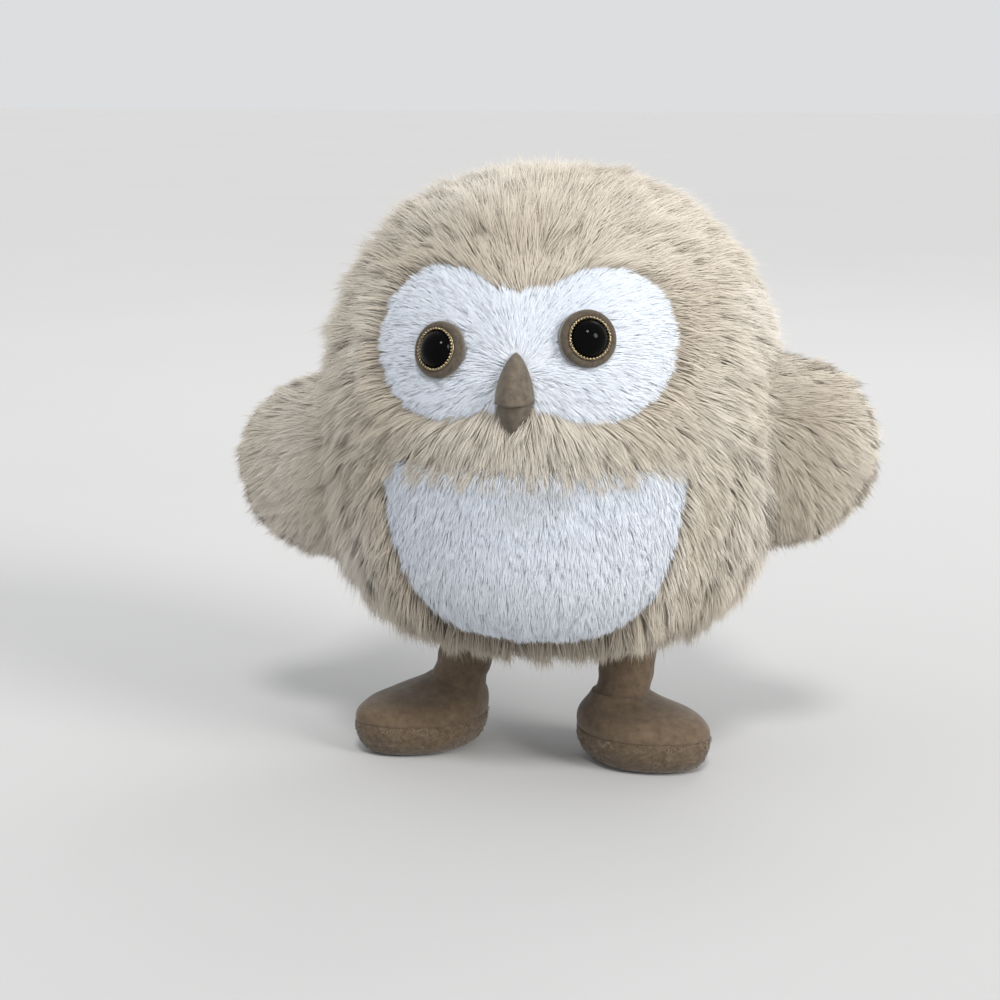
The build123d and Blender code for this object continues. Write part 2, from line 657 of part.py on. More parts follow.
wing_skin = wing_form(0)
wing_core = wing_form(WING_PILE)
for body_seen in body_seen_by_wing:
    wing_skin = wing_skin - body_seen
    wing_core = wing_core - body_seen
wing_fur = wing_skin - wing_form(WING_PILE) - lever
wing_padding = wing_core - lever
nodes["wing_fur_right"] = wing_fur
nodes["wing_fur_left"] = mirror(wing_fur, Plane.YZ)
nodes["wing_padding_right"] = wing_padding
nodes["wing_padding_left"] = mirror(wing_padding, Plane.YZ)

# ---- legs and feet ----

for side, sign in SIDES:
    hip, ankle = leg_ends(side, sign)
    leg = leg_tube(hip, ankle, LEG_RADIUS)
    filling = leg_tube(hip, ankle, LEG_RADIUS - LEG_CLOTH)
    nodes["leg_velvet_" + side] = leg - filling
    nodes["leg_stuffing_" + side] = filling
    toe_turn = math.radians(TOE_OUT[side])
    toe = Vector(sign * math.sin(toe_turn), -math.cos(toe_turn), 0)
    foot_middle = Vector(ankle[0], ankle[1], FOOT_Z) + toe * HEEL_TO_TOE_SHIFT[side]
    place = Pos(*foot_middle) * Rot(0, 0, sign * TOE_OUT[side])
    outer = place * ellipsoid(FOOT_HALF)
    inner = place * ellipsoid([size - FOOT_CLOTH for size in FOOT_HALF])
    above_floor = box((-200, -200, 0), (200, 200, 100))
    above_inner = box((-200, -200, FOOT_CLOTH), (200, 200, 100))
    above_seam = box((-200, -200, FOOT_Z), (200, 200, 100))
    below_seam = box((-200, -200, 0), (200, 200, FOOT_Z))
    ankle_room = ankle_funnel(hip, ankle)
    cloth = (outer & above_floor) - (inner & above_inner) - ankle_room
    pellets = place * Pos(0, -8, 8 - FOOT_Z) * ellipsoid((13, 14, 4.5)) - ankle_room
    nodes["foot_upper_" + side] = cloth & above_seam
    nodes["foot_sole_" + side] = cloth & below_seam
    nodes["foot_pellet_bag_" + side] = pellets
    nodes["foot_stuffing_" + side] = (inner & above_inner) - ankle_room - pellets

nodes["fur_coat"] = fur_coat
nodes["face_mask"] = face_mask
nodes["belly_panel"] = belly_panel
nodes["body_stuffing"] = stuffing

# ---- put the origin under the middle of the whole toy and write the files ----

boxes = [piece.bounding_box() for piece in nodes.values()]
middle_x = (min(b.min.X for b in boxes) + max(b.max.X for b in boxes)) / 2
middle_y = (min(b.min.Y for b in boxes) + max(b.max.Y for b in boxes)) / 2
os.makedirs("parts", exist_ok=True)
for name, piece in nodes.items():
    export_step(Pos(-middle_x, -middle_y, 0) * piece, f"parts/{name}.step")
print(f"moved by {-middle_x:.3f} {-middle_y:.3f}, {len(nodes)} nodes")
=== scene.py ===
"""A fluffy owl plush on two stuffed legs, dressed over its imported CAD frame.

Metres throughout. The face looks along -Y, +X is the viewer's right and +Z is up.
"""
import json
import math
from typing import NamedTuple

import bpy
import numpy as np
from mathutils import Matrix, Vector, kdtree


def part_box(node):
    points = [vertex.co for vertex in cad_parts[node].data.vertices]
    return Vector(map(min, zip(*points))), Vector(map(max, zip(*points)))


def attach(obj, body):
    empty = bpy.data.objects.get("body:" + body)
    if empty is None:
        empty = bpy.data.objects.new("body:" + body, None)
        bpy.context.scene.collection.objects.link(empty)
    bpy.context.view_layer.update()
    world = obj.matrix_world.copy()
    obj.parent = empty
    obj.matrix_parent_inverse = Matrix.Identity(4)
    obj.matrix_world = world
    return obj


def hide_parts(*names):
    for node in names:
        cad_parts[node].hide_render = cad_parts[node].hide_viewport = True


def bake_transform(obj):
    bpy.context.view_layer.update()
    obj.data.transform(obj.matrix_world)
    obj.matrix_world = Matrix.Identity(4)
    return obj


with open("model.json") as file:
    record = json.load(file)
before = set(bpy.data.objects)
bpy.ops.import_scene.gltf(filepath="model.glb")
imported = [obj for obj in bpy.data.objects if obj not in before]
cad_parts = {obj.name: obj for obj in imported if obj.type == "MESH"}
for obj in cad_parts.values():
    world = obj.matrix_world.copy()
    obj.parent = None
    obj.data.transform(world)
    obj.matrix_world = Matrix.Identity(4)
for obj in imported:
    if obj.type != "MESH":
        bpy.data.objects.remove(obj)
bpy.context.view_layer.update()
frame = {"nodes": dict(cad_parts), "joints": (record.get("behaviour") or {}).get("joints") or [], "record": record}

MM = 0.001
SIDES = (("left", -1), ("right", 1))
DOWN = np.array((0.0, 0.0, -1.0))

# Body form, fuller below than the CAD's, where the coat sags
TOP_FULLNESS = 2.3
BOTTOM_FULLNESS = 3.6
coat_low, coat_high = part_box("fur_coat")
BODY_ABOVE = 112 * MM
BODY_BELOW = coat_high.z - BODY_ABOVE - coat_low.z
BODY_RADIUS = (coat_high.x - coat_low.x) / 2
BODY = np.array((0.0, (coat_low.y + coat_high.y) / 2, coat_high.z - BODY_ABOVE))
SKIN_INSET = 8.5 * MM
WHITE_INSET = 9.5 * MM
FILL_INSET = 16 * MM

# White panels, as heights above or below the middle of the body
LOBE_X = 32 * MM
LOBE_Z = 41.5 * MM
LOBE_RADIUS = 31 * MM
BRIDGE_HALF_WIDTH = 18 * MM
BRIDGE_LOW = 16 * MM
BRIDGE_HIGH = 64 * MM
BRIDGE_NOTCH = 2.5 * MM
BELLY_X = 3.5 * MM
BELLY_TOP = -8 * MM
BELLY_HALF_WIDTH = 64.5 * MM
BELLY_DEPTH = 80 * MM
BELLY_SQUARENESS = 2.6
FACE_CENTRE = np.array((0, BODY[1] - BODY_RADIUS, BODY[2] + 40 * MM))

# Eyes
EYE_TURN = 26
EYE_TILT = 14
DOME_RADIUS = 8 * MM
DOME_HEIGHT = 5.2 * MM
SUEDE_RADIUS = 12 * MM
SUEDE_HEIGHT = 3.6 * MM
BEAD_CIRCLE = 8.45 * MM
BEAD_RADIUS = 0.58 * MM
BEADS = 38

# Legs and feet
LEG_RADIUS = 12.5 * MM
LEG_INSIDE_BODY = 8 * MM
LEG_PAST_ANKLE = 1 * MM
FOOT_HALF_LENGTH = 33 * MM
FOOT_HALF_WIDTH = 24.5 * MM
SEAM_Z = 16 * MM
ANKLE_TOP = 32 * MM
HEEL_TO_TOE_SHIFT = {"left": 17 * MM, "right": 12 * MM}
TOE_OUT = {"left": 52, "right": 68}
SOLE_NAP = 9000
SEAM_FUZZ = 14000
FOOT_FILL_SCALE = np.array((0.86, 0.86, 0.8))
FOOT_FILL_SINK = 1.5 * MM

# Sine waves added up in one ripple
WAVES = 7


# ---- small maths ----

def unit(vectors):
    """Vectors of length one, along the last axis."""
    vectors = np.asarray(vectors, float)
    length = np.linalg.norm(vectors, axis=-1, keepdims=True)
    return vectors / np.maximum(length, 1e-9)


def along_surface(vectors, normals):
    """The part of each vector that lies in the surface, with length one."""
    flat = vectors - normals * np.sum(vectors * normals, axis=-1, keepdims=True)
    return unit(flat)


def smooth(value, low, high):
    share = np.clip((value - low) / (high - low), 0, 1)
    return share * share * (3 - 2 * share)


def ripple(points, wavelength, seed):
    """Smooth waves over space, about -1 to 1, the same on every run."""
    rng = np.random.default_rng(seed)
    total = np.zeros(len(points))
    for _ in range(WAVES):
        direction = unit(rng.normal(size=3))
        pitch = wavelength * rng.uniform(0.7, 1.5)
        phase = rng.uniform(0, 2 * math.pi)
        total += np.sin(points @ direction * (2 * math.pi / pitch) + phase)
    return total * 1.6 / WAVES


def colour(red, green, blue):
    """A linear colour from the values a picture shows, 0 to 255."""
    def linear(value):
        share = value / 255
        return share / 12.92 if share <= 0.04045 else ((share + 0.055) / 1.055) ** 2.4
    return (linear(red), linear(green), linear(blue), 1)


# ---- meshes ----

def new_piece(name, vertices, faces):
    """A smooth-shaded mesh object from plain lists."""
    mesh = bpy.data.meshes.new(name)
    mesh.from_pydata([tuple(v) for v in vertices], [], faces)
    mesh.update()
    mesh.shade_smooth()
    piece = bpy.data.objects.new(name, mesh)
    bpy.context.scene.collection.objects.link(piece)
    return piece


def loft(name, rings):
    """A closed form through rings of points, capped at both ends."""
    rings = np.asarray(rings)
    rows, columns = rings.shape[:2]
    vertices = list(rings.reshape(-1, 3))
    faces = []
    for row in range(rows - 1):
        for column in range(columns):
            following = (column + 1) % columns
            low = row * columns
            high = low + columns
            faces.append((low + column, low + following, high + following, high + column))
    for row, turned_in in ((0, True), (rows - 1, False)):
        middle = len(vertices)
        vertices.append(rings[row].mean(axis=0))
        for column in range(columns):
            following = (column + 1) % columns
            edge = (row * columns + column, row * columns + following)
            faces.append((middle, edge[1], edge[0]) if turned_in else (middle, edge[0], edge[1]))
    return new_piece(name, vertices, faces)


def vertex_arrays(piece):
    """Positions and normals of a piece's vertices."""
    mesh = piece.data
    places = np.empty(len(mesh.vertices) * 3)
    normals = np.empty(len(mesh.vertices) * 3)
    mesh.vertices.foreach_get("co", places)
    mesh.vertices.foreach_get("normal", normals)
    return places.reshape(-1, 3), normals.reshape(-1, 3)


def scatter(piece, count, seed):
    """Points spread evenly over a piece's skin, with the skin's normal at each."""
    mesh = piece.data
    mesh.calc_loop_triangles()
    places, normals = vertex_arrays(piece)
    corners = np.empty(len(mesh.loop_triangles) * 3, np.int32)
    areas = np.empty(len(mesh.loop_triangles))
    mesh.loop_triangles.foreach_get("vertices", corners)
    mesh.loop_triangles.foreach_get("area", areas)
    corners = corners.reshape(-1, 3)
    rng = np.random.default_rng(seed)
    total = np.cumsum(areas)
    picks = (np.arange(count) + rng.random(count)) / count * total[-1]
    chosen = corners[np.minimum(np.searchsorted(total, picks), len(corners) - 1)]
    first, second = rng.random((2, count, 1))
    outside = first + second > 1
    first, second = np.where(outside, 1 - first, first), np.where(outside, 1 - second, second)
    third = 1 - first - second

    def mixed(values):
        return values[chosen[:, 0]] * first + values[chosen[:, 1]] * second + values[chosen[:, 2]] * third

    return mixed(places), unit(mixed(normals))


# ---- fur: flat tapering strands that bend from the skin into the flow ----

class Pile(NamedTuple):
    """How one kind of fur grows."""
    width: float
    lift: float
    rise: float
    droop: float
    clump: int
    pull: float
    scatter: float
    stragglers: float
    mottle: float
    softness: float


LONG_PILE = Pile(width=0.34 * MM, lift=0.42, rise=0.14, droop=0.2, clump=40, pull=0.12,
                 scatter=0.16, stragglers=0.05, mottle=0.12, softness=0.75)
WHITE_PILE = Pile(width=0.3 * MM, lift=0.38, rise=0.16, droop=0.1, clump=30, pull=0.1,
                  scatter=0.13, stragglers=0.01, mottle=0.04, softness=0.9)
NAP = Pile(width=0.22 * MM, lift=0.3, rise=0.2, droop=0.1, clump=10, pull=0.3,
           scatter=0.4, stragglers=0.04, mottle=0.15, softness=0.5)
STEPS = np.array((0, 0.5, 1.0))
HALF_WIDTHS = np.array((1, 0.85))
STRAND_VERTICES = 5
STRAND_CORNERS = np.array((0, 1, 3, 2, 2, 3, 4))
FACE_STARTS = np.array((0, 4))
ACROSS_CELL = np.array((0.2, 0.8, 0.2, 0.8, 0.5))


def nearest_leader(roots, leaders):
    """For each root, which of the leading strands it lies nearest."""
    tree = kdtree.KDTree(len(leaders))
    for place, leader in enumerate(leaders):
        tree.insert(roots[leader], place)
    tree.balance()
    return np.array([tree.find(root)[1] for root in roots])


def strand_paths(roots, normals, flow, lengths, pile, rng):
    """Three points along each strand, and the lock each strand belongs to."""
    count = len(roots)
    leaders = rng.choice(count, max(count // pile.clump, 1), replace=False)
    lock = nearest_leader(roots, leaders)
    lean = rng.normal(size=(len(leaders), 3))[lock] * pile.scatter
    own = rng.normal(size=(count, 3)) * pile.scatter * 0.6
    stray = rng.random(count) < pile.stragglers
    lock_length = rng.uniform(0.88, 1.12, len(leaders))[lock]
    lengths = lengths * lock_length * rng.uniform(0.8, 1.1, count) * np.where(stray, 1.2, 1)
    flow = unit(flow + lean + own)
    start = unit(normals * pile.lift + flow * (1 - pile.lift))
    end = unit(flow + normals * pile.rise + DOWN * pile.droop)
    bend = STEPS ** 2 / 2
    reach = STEPS[None, :, None] * start[:, None] + bend[None, :, None] * (end - start)[:, None]
    path = roots[:, None] + lengths[:, None, None] * reach
    pull = pile.pull * rng.uniform(0.6, 1, count) * np.where(stray, 0.2, 1)
    to_lock = path[leaders[lock], -1] - path[:, -1]
    path = path + to_lock[:, None] * (pull[:, None] * STEPS ** 1.5)[..., None]
    return path, lock, len(leaders)


def strand_mesh(name, corners, look):
    """One mesh of all strands. look holds how far along, how light, and which patch with its painted shade, per
    vertex.
    """
    count = len(corners)
    mesh = bpy.data.meshes.new(name)
    mesh.vertices.add(count * STRAND_VERTICES)
    mesh.vertices.foreach_set("co", corners.ravel().astype(np.float32))
    order = np.arange(count)[:, None] * STRAND_VERTICES + STRAND_CORNERS
    mesh.loops.add(order.size)
    mesh.polygons.add(count * len(FACE_STARTS))
    starts = np.arange(count)[:, None] * len(STRAND_CORNERS) + FACE_STARTS
    mesh.polygons.foreach_set("loop_start", starts.ravel().astype(np.int32))
    mesh.loops.foreach_set("vertex_index", order.ravel().astype(np.int32))
    mesh.update(calc_edges=True)
    mesh.shade_smooth()
    look_layer = mesh.attributes.new("pile", "FLOAT_VECTOR", "POINT")
    look_layer.data.foreach_set("vector", look.ravel().astype(np.float32))
    cells = math.ceil(math.sqrt(count))
    cell = np.stack((np.arange(count) % cells, np.arange(count) // cells), axis=-1)
    within = np.stack((ACROSS_CELL, 0.1 + 0.8 * look[0, :, 0]), axis=-1)
    places = (cell[:, None] + within[None]) / cells
    layer = mesh.uv_layers.new(name="OFBake")
    layer.data.foreach_set("uv", places[:, STRAND_CORNERS].ravel().astype(np.float32))
    return mesh


def soft_normals(mesh, corners, normals, softness):
    """Lets strands catch the light partly as the skin under them does, as dense fur looks."""
    own = unit(np.cross(corners[:, 1] - corners[:, 0], corners[:, 2] - corners[:, 0]))
    shared = unit(normals * softness + own * (1 - softness))
    layer = mesh.attributes.new("custom_normal", "FLOAT_VECTOR", "POINT")
    layer.data.foreach_set("vector", np.repeat(shared, STRAND_VERTICES, axis=0).ravel().astype(np.float32))


def grow(name, roots, normals, flow, lengths, pile, seed, painted_shade=0.0):
    """A piece of fur: one mesh of tapering strands from roots on a skin."""
    rng = np.random.default_rng(seed)
    path, lock, locks = strand_paths(roots, normals, flow, lengths, pile, rng)
    count = len(roots)
    tangent = unit(path[:, 1] - path[:, 0])
    across = unit(np.cross(tangent, normals))
    twist = rng.normal(0, 0.4, (count, 1))
    across = unit(across * np.cos(twist) + np.cross(tangent, across) * np.sin(twist))
    widths = pile.width / 2 * rng.uniform(0.7, 1.2, count)
    side = across[:, None] * (widths[:, None] * HALF_WIDTHS)[..., None]
    corners = np.empty((count, STRAND_VERTICES, 3))
    corners[:, 0:4:2] = path[:, :2] - side
    corners[:, 1:4:2] = path[:, :2] + side
    corners[:, 4] = path[:, 2]
    look = np.empty((count, STRAND_VERTICES, 3))
    look[..., 0] = np.repeat(STEPS, 2)[:STRAND_VERTICES]
    light = 0.6 + pile.mottle * (0.8 * rng.normal(size=locks)[lock] + rng.normal(size=count))
    look[..., 1] = np.clip(light, 0, 1)[:, None]
    # Slow random patches of tone, lowered by painted shade that darkens the fur low on the body.
    patch = 0.7 + 0.3 * ripple(roots, 60 * MM, seed + 1) - 0.7 * painted_shade
    look[..., 2] = np.clip(patch, 0, 1)[:, None]
    mesh = strand_mesh(name, corners, look)
    soft_normals(mesh, corners, normals, pile.softness)
    piece = bpy.data.objects.new(name, mesh)
    bpy.context.scene.collection.objects.link(piece)
    return piece


# ---- materials ----

def start_material(name, roughness, metallic=0.0, sheen=0.0, coat=0.0):
    material = bpy.data.materials.new(name)
    material.use_nodes = True
    shader = material.node_tree.nodes["Principled BSDF"]
    shader.inputs["Roughness"].default_value = roughness
    shader.inputs["Metallic"].default_value = metallic
    shader.inputs["Sheen Weight"].default_value = sheen
    shader.inputs["Sheen Roughness"].default_value = 0.45
    shader.inputs["Coat Weight"].default_value = coat
    return material, shader


def ramp_node(nodes, stops):
    ramp = nodes.new("ShaderNodeValToRGB")
    elements = ramp.color_ramp.elements
    while len(elements) < len(stops):
        elements.new(0.5)
    for element, (place, shade) in zip(elements, stops):
        element.position = place
        element.color = shade
    return ramp


def mix_node(nodes, links, kind, factor, first, second):
    """A colour mix whose second colour is a socket or a plain colour."""
    mix = nodes.new("ShaderNodeMix")
    mix.data_type = "RGBA"
    mix.blend_type = kind
    if isinstance(factor, float):
        mix.inputs["Factor"].default_value = factor
    else:
        links.new(factor, mix.inputs["Factor"])
    links.new(first, mix.inputs["A"])
    if isinstance(second, tuple):
        mix.inputs["B"].default_value = second
    else:
        links.new(second, mix.inputs["B"])
    return mix.outputs["Result"]


# Painted shade: the colour the fur's patches darken to, low on the body.
DEEP_SHADE = (0.58, 0.54, 0.49, 1)


def fur_material(name, root, middle, tip, shade, sheen=0.15):
    """Strand colour from root to tip, with the roots painted darker as shade deep in the pile, lighter and darker
    locks, slow patches, and painted shade low on the body.
    """
    material, shader = start_material(name, roughness=0.9, sheen=sheen)
    nodes = material.node_tree.nodes
    links = material.node_tree.links
    pile = nodes.new("ShaderNodeAttribute")
    pile.attribute_name = "pile"
    parts = nodes.new("ShaderNodeSeparateXYZ")
    links.new(pile.outputs["Vector"], parts.inputs["Vector"])
    # Roots painted darker than the tips: painted shade deep in the pile.
    along = ramp_node(nodes, ((0.0, root), (0.45, middle), (1.0, tip)))
    links.new(parts.outputs["X"], along.inputs["Fac"])
    locks = ramp_node(nodes, (
        (0.0, (0.8, 0.79, 0.78, 1)), (0.6, (1, 1, 1, 1)), (1.0, (1.06, 1.06, 1.06, 1))))
    links.new(parts.outputs["Y"], locks.inputs["Fac"])
    lit = mix_node(nodes, links, "MULTIPLY", 1.0, along.outputs["Color"], locks.outputs["Color"])
    patches = ramp_node(nodes, ((0.0, DEEP_SHADE), (0.45, shade), (1.0, (1, 1, 1, 1))))
    links.new(parts.outputs["Z"], patches.inputs["Fac"])
    final = mix_node(nodes, links, "MULTIPLY", 1.0, lit, patches.outputs["Color"])
    links.new(final, shader.inputs["Base Color"])
    return material


class Finish(NamedTuple):
    """A surface with a broken colour and, where grain_depth isn't zero, a fine grain."""
    dark: tuple
    light: tuple
    size: float
    roughness: float
    grain: float = 0.4 * MM
    grain_depth: float = 0.0
    stretch: tuple = (1, 1, 1)
    weave: bool = False
    metallic: float = 0.0
    sheen: float = 0.0
    coat: float = 0.0
    shine: float = 0.5


def surface_material(name, finish):
    material, shader = start_material(name, finish.roughness, finish.metallic, finish.sheen, finish.coat)
    shader.inputs["Specular IOR Level"].default_value = finish.shine
    nodes = material.node_tree.nodes
    links = material.node_tree.links
    place = nodes.new("ShaderNodeTexCoord")
    spread = nodes.new("ShaderNodeMapping")
    spread.inputs["Scale"].default_value = finish.stretch
    links.new(place.outputs["Object"], spread.inputs["Vector"])
    cloud = nodes.new("ShaderNodeTexNoise")
    cloud.inputs["Scale"].default_value = 1 / finish.size
    cloud.inputs["Detail"].default_value = 5
    cloud.inputs["Roughness"].default_value = 0.6
    links.new(spread.outputs["Vector"], cloud.inputs["Vector"])
    ramp = ramp_node(nodes, ((0.3, finish.dark), (0.7, finish.light)))
    links.new(cloud.outputs["Fac"], ramp.inputs["Fac"])
    shade = ramp.outputs["Color"]
    if finish.weave:
        threads = []
        for direction in ("X", "Z"):
            wave = nodes.new("ShaderNodeTexWave")
            wave.bands_direction = direction
            wave.inputs["Scale"].default_value = 0.32 / finish.grain
            wave.inputs["Distortion"].default_value = 0.6
            links.new(place.outputs["Object"], wave.inputs["Vector"])
            threads.append(wave.outputs["Fac"])
        cross = nodes.new("ShaderNodeMath")
        cross.operation = "MAXIMUM"
        links.new(threads[0], cross.inputs[0])
        links.new(threads[1], cross.inputs[1])
        height = cross.outputs["Value"]
        shade = mix_node(nodes, links, "MULTIPLY", 0.35, shade, height)
    else:
        grain = nodes.new("ShaderNodeTexNoise")
        grain.inputs["Scale"].default_value = 1 / finish.grain
        grain.inputs["Detail"].default_value = 3
        links.new(spread.outputs["Vector"], grain.inputs["Vector"])
        height = grain.outputs["Fac"]
    links.new(shade, shader.inputs["Base Color"])
    if finish.grain_depth:
        bump = nodes.new("ShaderNodeBump")
        bump.inputs["Strength"].default_value = 0.6
        bump.inputs["Distance"].default_value = finish.grain_depth
        links.new(height, bump.inputs["Height"])
        links.new(bump.outputs["Normal"], shader.inputs["Normal"])
    return material


FINISHES = {
    "coat_backing": Finish(colour(172, 164, 152), colour(188, 180, 168), 6 * MM, 0.95, weave=True),
    "white_backing": Finish(colour(222, 226, 231), colour(232, 236, 241), 6 * MM, 0.95, weave=True),
    "beak_suede": Finish(colour(78, 69, 58), colour(106, 96, 83), 3 * MM, 0.9, grain_depth=0.12 * MM,
                         sheen=0.15),
    "brown_velvet": Finish(colour(80, 65, 49), colour(104, 87, 68), 4 * MM, 0.9, grain=0.7 * MM,
                           grain_depth=0.3 * MM, sheen=0.25),
    "brushed_sole": Finish(colour(74, 60, 45), colour(108, 92, 73), 2.5 * MM, 0.95, grain=0.6 * MM,
                           grain_depth=0.4 * MM, sheen=0.25),
    "eye_suede": Finish(colour(58, 50, 40), colour(88, 77, 63), 1.6 * MM, 0.9, grain=0.5 * MM,
                        grain_depth=0.2 * MM, sheen=0.4),
    "gold_beads": Finish(colour(116, 100, 72), colour(206, 190, 156), 0.9 * MM, 0.35, metallic=1.0),
    "black_dome": Finish(colour(2, 2, 2), colour(5, 5, 5), 8 * MM, 0.05, shine=0.06),
    "stuffing": Finish(colour(214, 213, 208), colour(240, 240, 236), 5 * MM, 0.95, grain=1.2 * MM,
                       grain_depth=0.6 * MM),
    "inner_cloth": Finish(colour(160, 150, 138), colour(186, 177, 165), 3 * MM, 0.9, grain=0.5 * MM,
                          grain_depth=0.1 * MM, weave=True),
    "case_plastic": Finish(colour(42, 42, 44), colour(56, 56, 59), 5 * MM, 0.55, grain=0.35 * MM,
                           grain_depth=0.05 * MM),
    "drive_plastic": Finish(colour(222, 220, 210), colour(238, 236, 228), 8 * MM, 0.4, grain=0.5 * MM,
                            grain_depth=0.03 * MM),
    "button_plastic": Finish(colour(176, 48, 36), colour(196, 62, 48), 5 * MM, 0.35, grain=0.4 * MM,
                             grain_depth=0.03 * MM),
    "steel": Finish(colour(150, 151, 153), colour(186, 187, 189), 1.5 * MM, 0.35, grain=0.4 * MM,
                    grain_depth=0.02 * MM, stretch=(1, 6, 6), metallic=1.0),
    "board_green": Finish(colour(18, 84, 48), colour(34, 110, 66), 2 * MM, 0.35, grain=0.5 * MM,
                          grain_depth=0.03 * MM, coat=0.4),
    "cell_wrap": Finish(colour(34, 34, 38), colour(58, 60, 66), 6 * MM, 0.3, stretch=(1, 5, 5), coat=0.5),
    "chip_black": Finish(colour(26, 26, 28), colour(40, 40, 42), 2 * MM, 0.6, grain=0.3 * MM,
                         grain_depth=0.03 * MM),
    "lead_red": Finish(colour(150, 24, 20), colour(176, 38, 30), 2 * MM, 0.5),
    "paper_cone": Finish(colour(34, 33, 32), colour(52, 50, 48), 1.5 * MM, 0.9, grain=0.4 * MM,
                         grain_depth=0.08 * MM),
    "pellets": Finish(colour(196, 194, 186), colour(226, 224, 216), 2.2 * MM, 0.6, grain=2.4 * MM,
                      grain_depth=0.8 * MM),
}
materials = {name: surface_material(name, finish) for name, finish in FINISHES.items()}
materials["long_fur"] = fur_material(
    "long_fur", colour(176, 168, 156), colour(203, 196, 184), colour(222, 216, 206), colour(236, 231, 224))
materials["white_pile"] = fur_material(
    "white_pile", colour(217, 221, 228), colour(224, 229, 236), colour(229, 234, 242),
    colour(246, 248, 250))
materials["brown_nap"] = fur_material(
    "brown_nap", colour(78, 64, 48), colour(96, 81, 63), colour(122, 106, 86), colour(225, 220, 215))
materials["seam_fuzz"] = fur_material(
    "seam_fuzz", colour(96, 82, 65), colour(132, 118, 99), colour(164, 151, 133), colour(225, 220, 215))


def dress(piece, material, body=None):
    """Gives a piece its material in its one slot, and attaches it to a body when one is named."""
    piece.data.materials.clear()
    piece.data.materials.append(materials[material])
    if body:
        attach(piece, body)


# ---- body form, skins and where each fur grows ----

def egg_radius(height, inset):
    """The radius of the body's form at heights above its middle."""
    reach = np.where(height > 0, BODY_ABOVE, BODY_BELOW) - inset
    fullness = np.where(height > 0, TOP_FULLNESS, BOTTOM_FULLNESS)
    share = np.clip(1 - np.abs(height / reach) ** fullness, 0, 1)
    return (BODY_RADIUS - inset) * share ** (1 / fullness)


def egg_rings(inset, rows, columns):
    """Rings of points round the body's form, from its foot to its crown."""
    rings = []
    around = np.linspace(0, 2 * math.pi, columns, endpoint=False)
    for row in range(1, rows):
        turn = math.pi * (row / rows - 0.5)
        fullness = TOP_FULLNESS if turn > 0 else BOTTOM_FULLNESS
        across = (BODY_RADIUS - inset) * math.cos(turn) ** (2 / fullness)
        reach = (BODY_ABOVE if turn > 0 else BODY_BELOW) - inset
        up = reach * abs(math.sin(turn)) ** (2 / fullness) * np.sign(turn)
        ring = np.stack((across * np.cos(around), across * np.sin(around), np.full(columns, up)), axis=-1)
        rings.append(ring + BODY)
    return np.array(rings)


def push(rings, amount, wavelength, seed):
    """Soft hand-made lumps: points move in and out from the body's middle line."""
    flat = rings.reshape(-1, 3)
    outward = unit(flat - flat.mean(axis=0))
    moved = flat + outward * (amount * ripple(flat, wavelength, seed))[:, None]
    return moved.reshape(rings.shape)


def in_mask(x, height, grow_by=0.0):
    reach = LOBE_RADIUS + grow_by
    lobes = np.hypot(np.abs(x) - LOBE_X, height - LOBE_Z) < reach
    bridge_x = np.abs(x) < BRIDGE_HALF_WIDTH
    bridge_top = BRIDGE_HIGH - BRIDGE_NOTCH * (1 - 2 * np.abs(x) / BRIDGE_HALF_WIDTH)
    bridge = bridge_x & (height > BRIDGE_LOW - grow_by) & (height < bridge_top + grow_by)
    return lobes | bridge


def in_belly(x, height, grow_by=0.0):
    across = np.abs((x - BELLY_X) / (BELLY_HALF_WIDTH + grow_by)) ** BELLY_SQUARENESS
    down = np.clip(BELLY_TOP - height, 0, None)
    deep = (down / (BELLY_DEPTH + grow_by)) ** BELLY_SQUARENESS
    return (across + deep < 1) & (height < BELLY_TOP + grow_by)


def panel_rings(inside, middle_x, middle_height, inset, rows=14, columns=96):
    """Rings of a white panel seen from the front, from its edge to its middle, tucked in at the edge."""
    rings = []
    angles = np.linspace(0, 2 * math.pi, columns, endpoint=False)
    reach = []
    trial = np.linspace(0, 0.1, 400)
    for angle in angles:
        hit = inside(middle_x + trial * math.cos(angle), middle_height + trial * math.sin(angle))
        reach.append(trial[np.argmax(~hit)] if not hit.all() else trial[-1])
    reach = np.array(reach)
    for row in range(rows):
        share = 1 - row / rows
        x = middle_x + reach * share * np.cos(angles)
        height = middle_height + reach * share * np.sin(angles)
        tuck = PANEL_TUCK * smooth(share, 0.9, 1.0)
        radius = egg_radius(height, inset + tuck)
        y = -np.sqrt(np.clip(radius ** 2 - x ** 2, 0, None))
        rings.append(np.stack((x, y, height), axis=-1) + BODY)
    return np.array(rings)


def sunk_for_panels(rings):
    """The coat's skin dips under the white panels and round the zip."""
    flat = rings.reshape(-1, 3) - BODY
    x = flat[:, 0]
    height = flat[:, 2]
    ahead = flat[:, 1] < 0
    covered = np.zeros(len(flat))
    for grow_by in PANEL_EDGES:
        covered += ahead & (in_mask(x, height, grow_by) | in_belly(x, height, grow_by))
    depth = PANEL_DIP * covered / len(PANEL_EDGES)
    zip_low, zip_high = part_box("zip_teeth")
    along_zip = (flat[:, 1] + BODY[1] > zip_low.y - 5 * MM) & (flat[:, 1] + BODY[1] < zip_high.y + 5 * MM)
    by_zip = (height < -0.8 * BODY_BELOW) & along_zip
    depth = np.maximum(depth, ZIP_DIP * by_zip * (1 - smooth(np.abs(x), 8 * MM, 14 * MM)))
    return (flat - unit(flat) * depth[:, None] + BODY).reshape(rings.shape)


